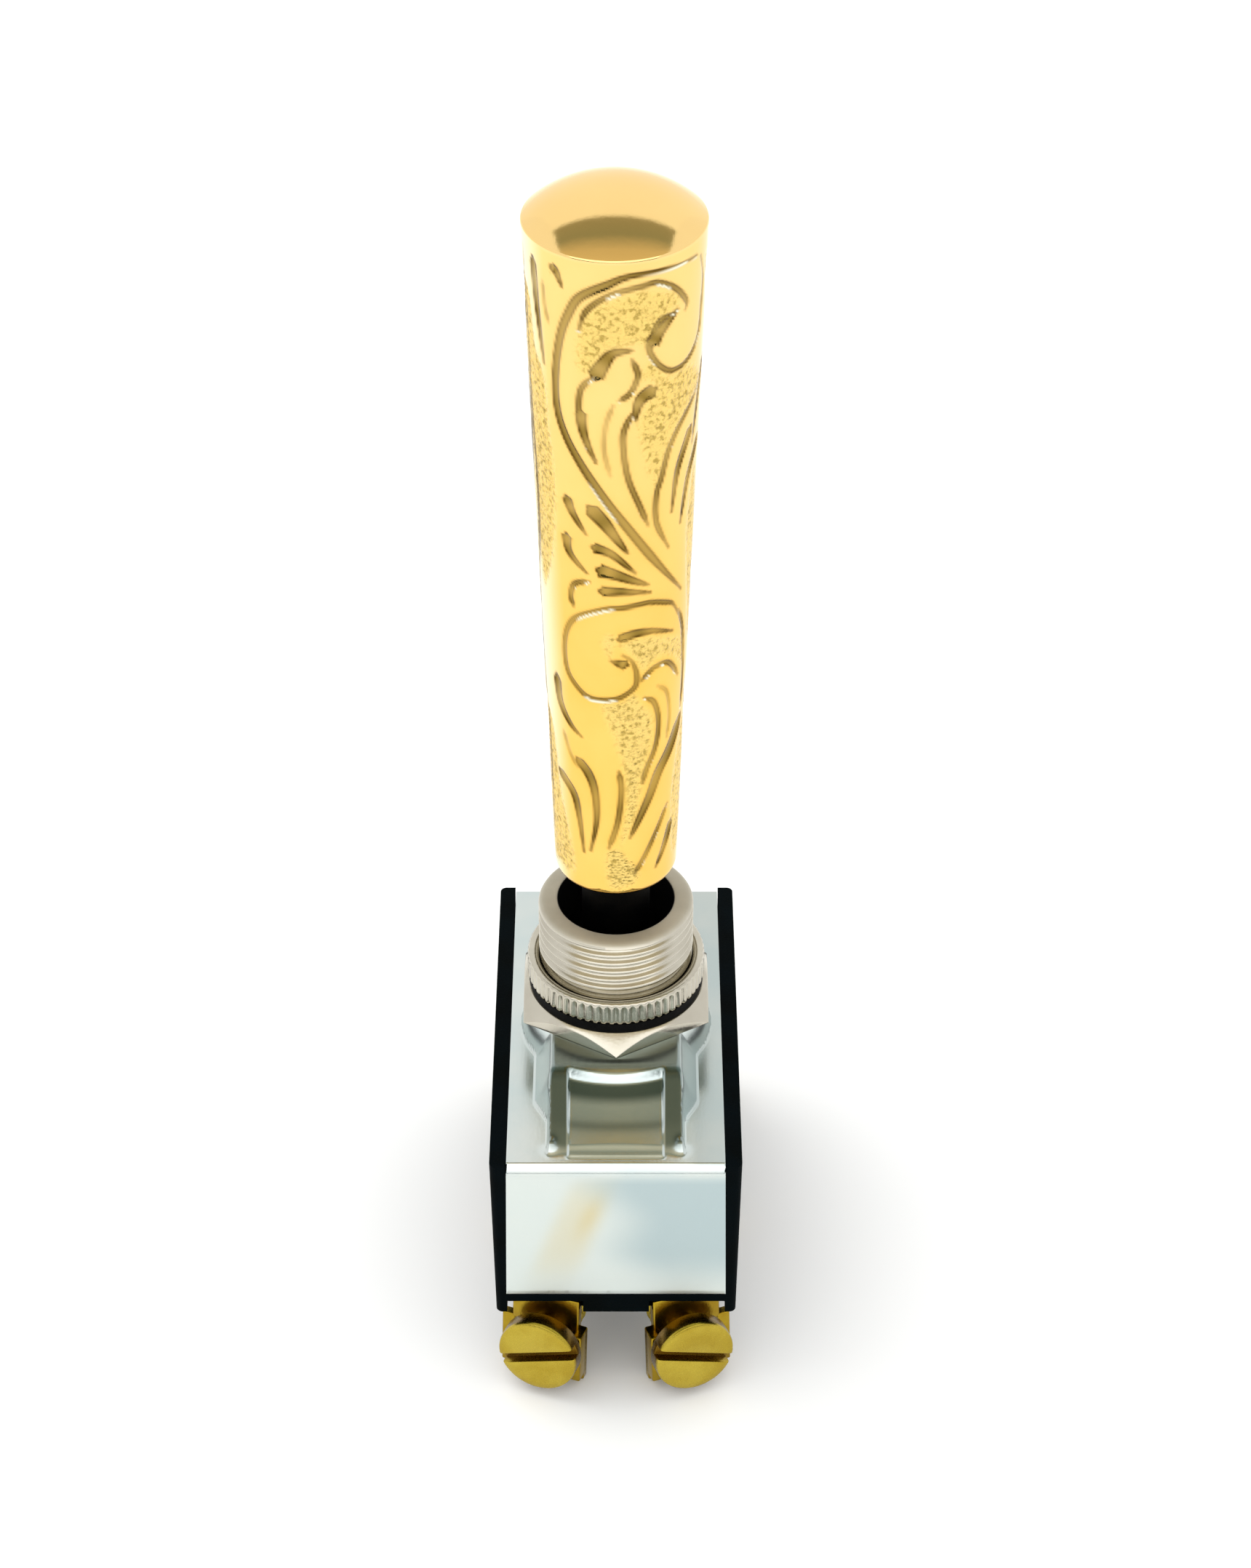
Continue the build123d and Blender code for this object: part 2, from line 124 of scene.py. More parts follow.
# The ceiling's bands curve towards both sides, where white walls take over.
level = sky_math("MULTIPLY_ADD", sky_math("MULTIPLY", sideways, sideways), BAND_CURVE, turns)
sky.links.new(level, overhead.inputs["Fac"])
wall = sky.nodes.new("ShaderNodeMapRange")
wall.interpolation_type = "SMOOTHSTEP"
wall.inputs["From Min"].default_value = WALL_EDGE[0]
wall.inputs["From Max"].default_value = WALL_EDGE[1]
wall_place = sky_math("MULTIPLY_ADD", turns, WALL_LEAN, sky_math("ABSOLUTE", sideways))
sky.links.new(wall_place, wall.inputs["Value"])
surround = sky.nodes.new("ShaderNodeMix")
surround.data_type = "RGBA"
surround.inputs["B"].default_value = (1.0, 1.0, 1.0, 1)
sky.links.new(wall.outputs["Result"], surround.inputs["Factor"])
sky.links.new(overhead.outputs["Color"], surround.inputs["A"])
studio_light = sky.nodes.new("ShaderNodeBackground")
sky.links.new(surround.outputs["Result"], studio_light.inputs["Color"])
# Seen plainly or by diffuse light the surround is an even white; only reflections see the bands.
backdrop = sky.nodes.new("ShaderNodeBackground")
backdrop.inputs["Color"].default_value = (1, 1, 1, 1)
backdrop.inputs["Strength"].default_value = 1.2
path = sky.nodes.new("ShaderNodeLightPath")
choose = sky.nodes.new("ShaderNodeMixShader")
world_out = sky.nodes.new("ShaderNodeOutputWorld")
plainly = sky_math("MAXIMUM", path.outputs["Is Camera Ray"], path.outputs["Is Diffuse Ray"])
sky.links.new(plainly, choose.inputs["Fac"])
sky.links.new(studio_light.outputs["Background"], choose.inputs[1])
sky.links.new(backdrop.outputs["Background"], choose.inputs[2])
sky.links.new(choose.outputs["Shader"], world_out.inputs["Surface"])

lamp_data = bpy.data.lights.new("soft_lamp", "AREA")
lamp_data.shape = "DISK"
lamp_data.size = 0.5
lamp_data.energy = 0.8
lamp = bpy.data.objects.new("soft_lamp", lamp_data)
lamp.location = LAMP_PLACE
lamp.rotation_euler = (Vector(LAMP_TARGET) - lamp.location).to_track_quat("-Z", "Y").to_euler()
lamp.visible_glossy = False
scene.collection.objects.link(lamp)

table_top = cad_box[0][2]
bpy.ops.mesh.primitive_plane_add(size=4.0, location=(0, 0, table_top))
table = bpy.context.active_object
table.name = "table"
table_paint = bpy.data.materials.new("white_table")
table_paint.use_nodes = True
paint_shader = table_paint.node_tree.nodes["Principled BSDF"]
paint_shader.inputs["Base Color"].default_value = (0.93, 0.935, 0.925, 1)
paint_shader.inputs["Roughness"].default_value = 0.6
paint_shader.inputs["Specular IOR Level"].default_value = 0.15
table.data.materials.append(table_paint)

# ================================================================ moulded case
# Black phenolic case with a dull skin; the metal frame sits between its two side walls.
# It keeps its CAD shape and gets its finish here, with the helpers that every finish uses.
def finish(name, metallic=0.0, **sockets):
    """New material with its constant values set on the shader's own sockets."""
    material = bpy.data.materials.new(name)
    material.use_nodes = True
    shader = material.node_tree.nodes["Principled BSDF"]
    shader.inputs["Metallic"].default_value = metallic
    for socket, value in sockets.items():
        shader.inputs[socket.replace("_", " ")].default_value = value
    return material


def mottle_group():
    """Two-tone patches, fine grain and hairlines that every finish here is built from."""
    group = bpy.data.node_groups.new("mottled_surface", "ShaderNodeTree")
    face = group.interface
    for label, kind in (("Colour", "Color"), ("Patch Colour", "Color"), ("Patch Scale", "Float"),
                        ("Grain Scale", "Float"), ("Roughness", "Float"), ("Roughness Spread", "Float"),
                        ("Hairlines", "Float")):
        face.new_socket(label, in_out="INPUT", socket_type=f"NodeSocket{kind}")
    for label, kind in (("Colour", "Color"), ("Roughness", "Float"), ("Height", "Float")):
        face.new_socket(label, in_out="OUTPUT", socket_type=f"NodeSocket{kind}")
    nodes, links = group.nodes, group.links
    given, give = nodes.new("NodeGroupInput"), nodes.new("NodeGroupOutput")
    place = nodes.new("ShaderNodeTexCoord")
    patches, grain, streaks = (nodes.new("ShaderNodeTexNoise") for _ in range(3))
    patches.inputs["Detail"].default_value = 4
    grain.inputs["Detail"].default_value = 3
    stretch = nodes.new("ShaderNodeMapping")
    stretch.inputs["Scale"].default_value = (9.0, 0.6, 0.9)
    stretch.inputs["Rotation"].default_value = (0.3, 0.5, 0.4)
    streaks.inputs["Scale"].default_value = 700
    streaks.inputs["Detail"].default_value = 2
    links.new(place.outputs["Object"], patches.inputs["Vector"])
    links.new(place.outputs["Object"], grain.inputs["Vector"])
    links.new(place.outputs["Object"], stretch.inputs["Vector"])
    links.new(stretch.outputs["Vector"], streaks.inputs["Vector"])
    links.new(given.outputs["Patch Scale"], patches.inputs["Scale"])
    links.new(given.outputs["Grain Scale"], grain.inputs["Scale"])
    tone = nodes.new("ShaderNodeMapRange")
    tone.inputs["From Min"].default_value = 0.38
    tone.inputs["From Max"].default_value = 0.66
    blend = nodes.new("ShaderNodeMix")
    blend.data_type = "RGBA"
    links.new(patches.outputs["Fac"], tone.inputs["Value"])
    links.new(tone.outputs["Result"], blend.inputs["Factor"])
    links.new(given.outputs["Colour"], blend.inputs["A"])
    links.new(given.outputs["Patch Colour"], blend.inputs["B"])
    links.new(blend.outputs["Result"], give.inputs["Colour"])
    spread = nodes.new("ShaderNodeMath")
    spread.operation = "MULTIPLY_ADD"
    links.new(grain.outputs["Fac"], spread.inputs[0])
    links.new(given.outputs["Roughness Spread"], spread.inputs[1])
    links.new(given.outputs["Roughness"], spread.inputs[2])
    links.new(spread.outputs[0], give.inputs["Roughness"])
    lines = nodes.new("ShaderNodeMath")
    lines.operation = "MULTIPLY_ADD"
    links.new(streaks.outputs["Fac"], lines.inputs[0])
    links.new(given.outputs["Hairlines"], lines.inputs[1])
    links.new(grain.outputs["Fac"], lines.inputs[2])
    links.new(lines.outputs[0], give.inputs["Height"])
    return group


MOTTLE = mottle_group()


def mottled(material, colour, patch, patch_scale, grain_scale, roughness, spread, hairlines,
            depth):
    """Put the mottled surface behind a material's colour, roughness and bump; depth is in mm."""
    nodes, links = material.node_tree.nodes, material.node_tree.links
    shader = nodes["Principled BSDF"]
    surface = nodes.new("ShaderNodeGroup")
    surface.node_tree = MOTTLE
    for label, value in (("Colour", (*colour, 1)), ("Patch Colour", (*patch, 1)),
                         ("Patch Scale", patch_scale), ("Grain Scale", grain_scale),
                         ("Roughness", roughness), ("Roughness Spread", spread),
                         ("Hairlines", hairlines)):
        surface.inputs[label].default_value = value
    bump = nodes.new("ShaderNodeBump")
    bump.name = "relief"
    bump.inputs["Distance"].default_value = depth * MM
    links.new(surface.outputs["Colour"], shader.inputs["Base Color"])
    links.new(surface.outputs["Roughness"], shader.inputs["Roughness"])
    links.new(surface.outputs["Height"], bump.inputs["Height"])
    links.new(bump.outputs["Normal"], shader.inputs["Normal"])
    return material


def tinted(material, attribute, colour, strength=1.0):
    """Lay one more colour over a material wherever the named point attribute asks for it."""
    nodes, links = material.node_tree.nodes, material.node_tree.links
    base = nodes["Principled BSDF"].inputs["Base Color"]
    mark = nodes.new("ShaderNodeAttribute")
    mark.attribute_name = attribute
    share = nodes.new("ShaderNodeMath")
    share.operation = "MULTIPLY"
    share.inputs[1].default_value = strength
    over = nodes.new("ShaderNodeMix")
    over.data_type = "RGBA"
    over.inputs["B"].default_value = (*colour, 1)
    links.new(mark.outputs["Fac"], share.inputs[0])
    links.new(share.outputs[0], over.inputs["Factor"])
    links.new(base.links[0].from_socket, over.inputs["A"])
    links.new(over.outputs["Result"], base)


def roughened(material, attribute, amount):
    """Make a material rougher wherever the named point attribute asks for it."""
    nodes, links = material.node_tree.nodes, material.node_tree.links
    base = nodes["Principled BSDF"].inputs["Roughness"]
    mark = nodes.new("ShaderNodeAttribute")
    mark.attribute_name = attribute
    rougher = nodes.new("ShaderNodeMath")
    rougher.operation = "MULTIPLY_ADD"
    rougher.inputs[1].default_value = amount
    links.new(mark.outputs["Fac"], rougher.inputs[0])
    links.new(base.links[0].from_socket, rougher.inputs[2])
    links.new(rougher.outputs[0], base)


def dress(node, material):
    """Give a carried-over CAD node its finish."""
    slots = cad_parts[node].data.materials
    slots.clear()
    slots.append(material)


phenolic = mottled(finish("black_phenolic", Specular_IOR_Level=0.02), (0.001, 0.003, 0.004),
                   (0.001, 0.002, 0.002), 300, 6000, 0.5, 0.2, 0.2, 0.02)
dress("base_housing", phenolic)

# ================================================================ terminals
# Six stamped brass terminals. The end ones run through the case's end walls and bend down
# into plates toed out by 20 degrees; each plate has a turned-up lip that keeps the wire in.
def only(obj):
    """Leave one object selected and active."""
    bpy.ops.object.select_all(action="DESELECT")
    obj.select_set(True)
    bpy.context.view_layer.objects.active = obj


def new_block(low, high):
    """Cube primitive between two corners given in mm."""
    size = [(b - a) * MM for a, b in zip(low, high)]
    centre = [(a + b) / 2 * MM for a, b in zip(low, high)]
    bpy.ops.mesh.primitive_cube_add(size=1, location=centre)
    block = bpy.context.active_object
    block.scale = size
    bpy.ops.object.transform_apply(location=True, rotation=True, scale=True)
    return block


def joined(pieces):
    """Join several meshes into the first one."""
    only(pieces[0])
    for piece in pieces[1:]:
        piece.select_set(True)
    bpy.ops.object.join()
    return pieces[0]


def apply_modifier(obj, kind, **settings):
    """Add a modifier with these settings and apply it."""
    only(obj)
    modifier = obj.modifiers.new(kind.lower(), kind)
    for key, value in settings.items():
        setattr(modifier, key, value)
    bpy.ops.object.modifier_apply(modifier=modifier.name)


def bevel(obj, width, segments, **limit):
    """Round an object's sharp edges; width is in mm."""
    apply_modifier(obj, "BEVEL", width=width * MM, segments=segments, limit_method="ANGLE", **limit)


def tidy_mesh(obj, angle=35.0):
    """Merge doubles, point the faces outwards and shade by angle."""
    only(obj)
    bpy.ops.object.mode_set(mode="EDIT")
    bpy.ops.mesh.select_all(action="SELECT")
    bpy.ops.mesh.remove_doubles(threshold=0.001 * MM)
    bpy.ops.mesh.normals_make_consistent(inside=False)
    bpy.ops.object.mode_set(mode="OBJECT")
    bpy.ops.object.shade_smooth_by_angle(angle=radians(angle))


def fit(obj, name, material, body, slot, *cad_nodes):
    """Name a finished piece, paint it and hang it on its CAD body in place of CAD nodes."""
    obj.name = name
    obj.data.name = name
    obj.data.materials.clear()
    obj.data.materials.append(material)
    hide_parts(*cad_nodes)
    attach(obj, body)


def copied(obj, matrix):
    """Copy with its own mesh, moved by a matrix into its place."""
    twin = obj.copy()
    twin.data = obj.data.copy()
    scene.collection.objects.link(twin)
    twin.data.transform(matrix)
    return twin


BRASS_SHEET = 0.8
PLATE_BEVEL = 0.16
PLATE_TOE_OUT = 20
PLATE_LEAN = -5
PLATE_INNER = 3.0
PLATE_OUTER = 3.9
PLATE_CENTRE = (5.3, -16.16, -22.0)
CENTRE_PLATE_CENTRE = (5.3, -0.4, -22.4)
TERMINAL_FOOT = -25.8
STRIP_TOP = -17.6
LEAN = Matrix.Rotation(radians(PLATE_TOE_OUT), 4, "Z") @ Matrix.Rotation(radians(PLATE_LEAN), 4, "X")
CORNERS = {f"{end}_{side}": (sx, sy) for side, sx in (("left", -1), ("right", 1))
           for end, sy in (("front", 1), ("rear", -1))}


def corner_matrix(sx, sy):
    """Place a plate drawn about its own screw hole at one corner of the case."""
    mirror = Matrix.Diagonal((sx, sy, 1, 1))
    return mirror @ Matrix.Translation(Vector(PLATE_CENTRE) * MM) @ LEAN


def plate_block(foot, shoulder, neck_inner, neck_outer, neck_top):
    """Stamped plate with its wire lip and a narrower neck, outer face on Y = 0."""
    plate = new_block((-PLATE_INNER, 0, foot), (PLATE_OUTER, BRASS_SHEET, shoulder))
    neck = new_block((-neck_inner, 0, shoulder - 0.6), (neck_outer, BRASS_SHEET, neck_top))
    lip = new_block((-PLATE_INNER, -0.9, foot + 0.5),
                    (BRASS_SHEET - PLATE_INNER, BRASS_SHEET - 0.05, shoulder))
    return [plate, neck, lip]


terminal_brass = mottled(finish("terminal_brass", 1.0), (0.42, 0.285, 0.022), (0.31, 0.19, 0.014),
                         500, 6000, 0.2, 0.1, 0.5, 0.008)
plate_foot = TERMINAL_FOOT - PLATE_CENTRE[2] + 0.25
end_plate = joined(plate_block(plate_foot, 1.35, 2.45, 3.05, 4.2))
bevel(end_plate, PLATE_BEVEL, 3)
tidy_mesh(end_plate)
run = new_block((1.5, -15.2, STRIP_TOP - BRASS_SHEET), (6.7, -8.0, STRIP_TOP))
bevel(run, 0.12, 2)
for corner, (sx, sy) in CORNERS.items():
    plate = copied(end_plate, corner_matrix(sx, sy))
    strip = copied(run, Matrix.Diagonal((sx, sy, 1, 1)))
    terminal = joined([plate, strip])
    tidy_mesh(terminal)
    fit(terminal, f"brass_terminal_{corner}", terminal_brass, "base", "brass",
        f"end_terminal_{corner}")
for spare in (end_plate, run):
    bpy.data.objects.remove(spare)

# The two centre terminals stand upright under the case; each leg carries its rocker's pivot.
centre_foot = TERMINAL_FOOT - CENTRE_PLATE_CENTRE[2]
centre_plate = joined(plate_block(centre_foot, 1.75, 2.2, 1.4, 10.2))
bevel(centre_plate, PLATE_BEVEL, 3)
for side, sx in (("left", -1), ("right", 1)):
    place = Matrix.Diagonal((sx, 1, 1, 1)) @ Matrix.Translation(Vector(CENTRE_PLATE_CENTRE) * MM)
    terminal = copied(centre_plate, place)
    tidy_mesh(terminal)
    fit(terminal, f"brass_terminal_center_{side}", terminal_brass, "base", "brass",
        f"center_terminal_{side}")
bpy.data.objects.remove(centre_plate)

# ================================================================ contacts and rockers
# Silver buttons riveted to the terminals and the rockers, and the brass rockers themselves.
# They are closed inside the case and keep their CAD shapes.
silver = mottled(finish("contact_silver", 1.0), (0.80, 0.80, 0.77), (0.62, 0.61, 0.56),
                 900, 5000, 0.22, 0.2, 0.3, 0.01)
rocker_brass = mottled(finish("rocker_brass", 1.0), (0.66, 0.47, 0.14), (0.5, 0.33, 0.08),
                       400, 5000, 0.3, 0.2, 0.5, 0.01)
for side in ("left", "right"):
    dress(f"rocker_{side}", rocker_brass)
    dress(f"moving_contacts_{side}", silver)
    for end in ("front", "rear"):
        dress(f"fixed_contact_{end}_{side}", silver)

# ================================================================ terminal screws
# Turned brass binding-head screws, slotted, each backed off a little to take a wire.
# The shank is threaded, the rim of the head has a fine broken edge, and brown painted shade
# lies in the slot and round the head below its face.
def turned(outline, steps):
    """Spin an outline of (radius, height) pairs in mm round the upright axis."""
    mesh = bpy.data.meshes.new("turned")
    mesh.from_pydata([(r * MM, 0, z * MM) for r, z in outline],
                     [(i, i + 1) for i in range(len(outline) - 1)], [])
    work = bpy.data.objects.new("turned", mesh)
    scene.collection.objects.link(work)
    only(work)
    bpy.ops.object.mode_set(mode="EDIT")
    bpy.ops.mesh.select_all(action="SELECT")
    bpy.ops.mesh.spin(steps=steps, angle=2 * pi, center=(0, 0, 0), axis=(0, 0, 1))
    bpy.ops.object.mode_set(mode="OBJECT")
    tidy_mesh(work)
    return work


def positions(obj):
    """Vertex positions in mm, one row each."""
    flat = np.empty(len(obj.data.vertices) * 3)
    obj.data.vertices.foreach_get("co", flat)
    return flat.reshape(-1, 3) / MM


def move_to(obj, places):
    """Write vertex positions given in mm."""
    obj.data.vertices.foreach_set("co", (places * MM).ravel())
    obj.data.update()


def mark_points(obj, label, values):
    """Store one number per vertex under a name that materials can read."""
    layer = obj.data.attributes.new(label, "FLOAT", "POINT")
    layer.data.foreach_set("value", values.astype(np.float32))


def cut_thread(obj, radius, pitch, depth, low, high):
    """Roll a right-hand thread with rounded crests into the outer wall between two heights."""
    places = positions(obj)
    x, y, z = places.T
    out = np.hypot(x, y)
    phase = (z / pitch - np.arctan2(y, x) / (2 * pi)) % 1.0
    runout = np.clip((z - low) / (0.6 * pitch), 0, 1) * np.clip((high - z) / (0.6 * pitch), 0, 1)
    groove = depth * (0.5 + 0.5 * np.cos(2 * pi * phase)) * runout
    wall = out > radius - 0.01
    scale = np.where(wall, (out - groove) / np.maximum(out, 0.01), 1)
    move_to(obj, np.column_stack([x * scale, y * scale, z]))


HEAD_RADIUS = 3.2
HEAD_SEAT = 1.0
HEAD_FACE = 2.6
SHANK_RADIUS = 1.7
SHANK_END = -4.2
SCREW_PITCH = 0.794
SHANK_CHAMFER = 0.3
SLOT_HALF_WIDTH = 0.425
SLOT_DEPTH = 0.8
SLOT_TURN = -20
SHADE_DEPTH = 0.3
screw_brass = mottled(finish("screw_brass", 1.0), (0.50, 0.38, 0.050), (0.42, 0.30, 0.032),
                      420, 5200, 0.22, 0.12, 0.8, 0.008)
head = turned([(0, HEAD_SEAT), (2.9, HEAD_SEAT), (3.12, HEAD_SEAT + 0.06),
               (HEAD_RADIUS, HEAD_SEAT + 0.2), (HEAD_RADIUS, HEAD_FACE - 0.34),
               (HEAD_RADIUS, HEAD_FACE - 0.26), (3.14, HEAD_FACE - 0.1),
               (3.0, HEAD_FACE - 0.02), (2.6, HEAD_FACE), (0, HEAD_FACE)], 72)
slot_cutter = new_block((-5, -SLOT_HALF_WIDTH, HEAD_FACE - SLOT_DEPTH),
                        (5, SLOT_HALF_WIDTH, HEAD_FACE + 1))
slot_cutter.data.transform(Matrix.Rotation(radians(SLOT_TURN), 4, "Z"))
apply_modifier(head, "BOOLEAN", operation="DIFFERENCE", object=slot_cutter, solver="EXACT")
bevel(head, 0.05, 2, angle_limit=radians(50))
bpy.data.objects.remove(slot_cutter)
# Painted shade: the slot and the head's side below its face are marked to be darkened.
places = positions(head)
in_slot = np.hypot(places[:, 0], places[:, 1]) < HEAD_RADIUS - 0.1
mark_points(head, "painted_shade", (places[:, 2] < HEAD_FACE - SHADE_DEPTH) * np.where(in_slot, 0.5, 0.8))
shank_steps = int((HEAD_SEAT - SHANK_END) / SCREW_PITCH * 8)
shank_foot = SHANK_END + SHANK_CHAMFER
shank_rows = [shank_foot + (HEAD_SEAT - SHANK_END - SHANK_CHAMFER) * i / shank_steps
              for i in range(shank_steps + 1)]
shank = turned([(0, SHANK_END), (SHANK_RADIUS - SHANK_CHAMFER, SHANK_END)]
               + [(SHANK_RADIUS, z) for z in shank_rows], 48)
cut_thread(shank, SHANK_RADIUS, SCREW_PITCH, 0.3, SHANK_END, HEAD_SEAT)
screw = joined([head, shank])
screw.data.transform(Matrix.Rotation(radians(90), 4, "X"))
screws = [copied(screw, corner_matrix(sx, sy)) for sx, sy in CORNERS.values()]
for sx in (-1, 1):
    screws.append(copied(screw, Matrix.Diagonal((sx, 1, 1, 1)) @
                         Matrix.Translation(Vector(CENTRE_PLATE_CENTRE) * MM)))
bpy.data.objects.remove(screw)
terminal_screws = joined(screws)
tidy_mesh(terminal_screws)
# The slot and the head's side get a brown painted shade.
tinted(screw_brass, "painted_shade", (0.13, 0.060, 0.008))
fit(terminal_screws, "slotted_terminal_screws", screw_brass, "base", "screw_brass", "terminal_screws")

# ================================================================ fibre liner
# Thin fibre sheet that keeps the live parts off the metal frame. It lies inside the case
# and keeps its CAD shape.
fibre = mottled(finish("fibre_sheet"), (0.30, 0.18, 0.10), (0.22, 0.13, 0.07),
                1500, 7000, 0.6, 0.2, 0.6, 0.03)
dress("insulator_liner", fibre)

# ================================================================ top frame
# Zinc-plated sheet steel, bent down over both ends of the case. A long boss is drawn up
# round the bushing, with a coined ramp panel sunk into each sloping end.
FRAME_HALF_TOP = 8.25
FRAME_HALF_FOOT = 8.475
FRAME_HALF_LENGTH = 16.65
STRIP_Z = -3.4
FRAME_FOOT = -16.8
BOSS_HEIGHT = 3.4
SHEET = 0.9
GRID_STEP = 0.13
ARC_RADIUS = 9.8
PANEL_HALF = 3.6
PANEL_END = 15.75
PANEL_TOP = 2.45
FRAME_BORE = 5.25
BUMP_PLACE = (4.9, 14.75)
BUMP_HEIGHT = 0.34


def soft_min(a, b, blend_width):
    """Smaller of two heights, with a rounded join."""
    share = np.clip(0.5 + 0.5 * (b - a) / blend_width, 0, 1)
    return b * (1 - share) + a * share - blend_width * share * (1 - share)


def soft_max(a, b, blend_width):
    """Larger of two heights, with a rounded join."""
    return -soft_min(-a, -b, blend_width)


def smooth_step(low, high, value):
    """Ease from 0 to 1 as a value goes from low to high; low may be the larger of the two."""
    share = np.clip((value - low) / (high - low), 0, 1)
    return share * share * (3 - 2 * share)


def panel_share(ax, ay):
    """Where the ramp panel starts beside each place, and how far down it the place lies (0 to 1)."""
    arc_y = np.sqrt(np.maximum(ARC_RADIUS ** 2 - ax ** 2, 0))
    return arc_y, np.clip((ay - arc_y) / (PANEL_END - arc_y), 0, 1)


def boss_height(x, y):
    """Height of the pressed sheet above its flat strips."""
    # The boss narrows towards its ends; its sides and end slopes meet under a flat top.
    ax, ay = np.abs(x), np.abs(y)
    foot = 6.2 - 1.05 * smooth_step(9.2, 12.0, ay)
    sides = (foot - ax) / (foot - 4.9) * BOSS_HEIGHT
    slope = soft_min(0.95 + (14.05 - ay) * 0.527, (15.35 - ay) * 0.73, 0.2)
    hump = soft_min(sides, slope, 0.35)
    seat = (7.4 - np.hypot(x, y)) * 6.0
    raised = soft_min(soft_max(hump, seat, 0.8), np.full_like(x, BOSS_HEIGHT), 0.4)
    raised = soft_max(raised, np.zeros_like(x), 0.3)
    bump = np.exp(-((ax - BUMP_PLACE[0]) ** 2 + (ay - BUMP_PLACE[1]) ** 2) / 0.2)
    raised = raised + BUMP_HEIGHT * bump
    arc_y, along = panel_share(ax, ay)
    panel = PANEL_TOP * (1 - along) * (1 - 0.34 * along) + 0.32 * smooth_step(1.0, 0.945, along)
    inside = smooth_step(PANEL_HALF + 0.1, PANEL_HALF - 0.1, ax) * smooth_step(-0.1, 0.42, ay - arc_y)
    return raised * (1 - inside) + np.minimum(panel, raised + 0.2) * inside


# The bend over each end is pressed with a narrow flat in the middle: (degrees down, mm along).
BEND = [(12, 0.06), (30, 0.06), (46, 0.06), (53, 0.22), (56, 0.26), (60, 0.22),
        (72, 0.07), (83, 0.07), (90, 0.07)]
bend_y = np.cumsum([length * cos(radians(a)) for a, length in BEND])
bend_z = np.cumsum([length * sin(radians(a)) for a, length in BEND])
flat_end = FRAME_HALF_LENGTH - bend_y[-1]
flat_rows = np.append(np.arange(0, flat_end, GRID_STEP), flat_end)
flange_rows = np.linspace(STRIP_Z - bend_z[-1], FRAME_FOOT, 29)[1:]
half_y = np.concatenate([flat_rows, flat_end + bend_y, np.full(len(flange_rows), FRAME_HALF_LENGTH)])
half_z = np.concatenate([np.full(len(flat_rows), STRIP_Z), STRIP_Z - bend_z, flange_rows])
row_y = np.concatenate([-half_y[:0:-1], half_y])
row_z = np.concatenate([half_z[:0:-1], half_z])
columns = int(2 * FRAME_HALF_TOP / GRID_STEP)
bpy.ops.mesh.primitive_grid_add(x_subdivisions=columns, y_subdivisions=len(row_y) - 1, size=2 * MM)
sheet = bpy.context.active_object
across, along_row, _ = positions(sheet).T
row = np.rint((along_row + 1) / 2 * (len(row_y) - 1)).astype(int)
y, z = row_y[row], row_z[row]
widening = FRAME_HALF_FOOT - FRAME_HALF_TOP
half_width = FRAME_HALF_TOP + widening * (STRIP_Z - z) / (STRIP_Z - FRAME_FOOT)
x = across * half_width
z = z + boss_height(x, y)
move_to(sheet, np.column_stack([x, y, z]))
only(sheet)
bpy.ops.object.mode_set(mode="EDIT")
bpy.ops.mesh.select_all(action="DESELECT")
cells = bmesh.from_edit_mesh(sheet.data)
for cell in cells.faces:
    if cell.calc_center_median().xy.length < FRAME_BORE * MM:
        cell.select_set(True)
bmesh.update_edit_mesh(sheet.data)
bpy.ops.mesh.delete(type="FACE")
bpy.ops.object.mode_set(mode="OBJECT")
apply_modifier(sheet, "SOLIDIFY", thickness=SHEET * MM, offset=-1)
bevel(sheet, 0.1, 2, angle_limit=radians(70))
tidy_mesh(sheet, 60)
zinc = mottled(finish("zinc_plate", 1.0), (0.60, 0.675, 0.665), (0.68, 0.72, 0.69),
               160, 3800, 0.2, 0.06, 0.5, 0.003)
x, y, z = positions(sheet).T
ax, ay = np.abs(x), np.abs(y)
arc_y, down = panel_share(ax, ay)
sloping = smooth_step(8.9, 9.6, ay) * smooth_step(15.4, 14.6, ay) * (z > STRIP_Z - 0.1)
on_panel = smooth_step(PANEL_HALF + 0.1, PANEL_HALF - 0.1, ax) * smooth_step(0.25, 0.6, ay - arc_y)
on_ridge = smooth_step(PANEL_HALF, PANEL_HALF + 0.2, ax) * smooth_step(5.3, 4.8, ax)
# A band of painted dark reflection lies across the top of each panel and a fainter one lower down.
bands = 0.92 * smooth_step(0.36, 0.2, down) + 0.5 * np.exp(-((down - 0.6) / 0.07) ** 2)
plateau = smooth_step(9.7, 9.3, ay) * smooth_step(5.4, 4.6, ax) * (z > STRIP_Z + 3.0)
# Painted dark reflection and shade on the ends' ridges and bands and on the plateau, a darker right
# strip; a yellow stain and a blue bloom on the front end face.
on_end = (y < -FRAME_HALF_LENGTH + 0.5) * smooth_step(STRIP_Z - 0.8, STRIP_Z - 1.6, z)
lean_x = x - 0.34 * (z + 10)
stain = 0.55 * on_end * np.exp(-((lean_x + 3.2) / 1.9) ** 4) * np.exp(-((z + 9.6) / 5.2) ** 4)
stain += 0.45 * on_end * np.exp(-((lean_x + 2.5) / 0.8) ** 2) * np.exp(-((z + 8.6) / 2.2) ** 2)
bloom_edge = x + 0.25 * (z + 10) + 0.7 * np.sin(0.9 * z)
bloom = on_end * smooth_step(-2.6, 3.6, bloom_edge) * smooth_step(-17.5, -12, z)
right_strip = 0.22 * smooth_step(5.2, 6.4, x) * (z > STRIP_Z - 0.1)
painted_dark_reflection = np.clip(sloping * on_panel * bands + 0.85 * sloping * on_ridge + 0.7 * plateau + right_strip,
               0, 1)
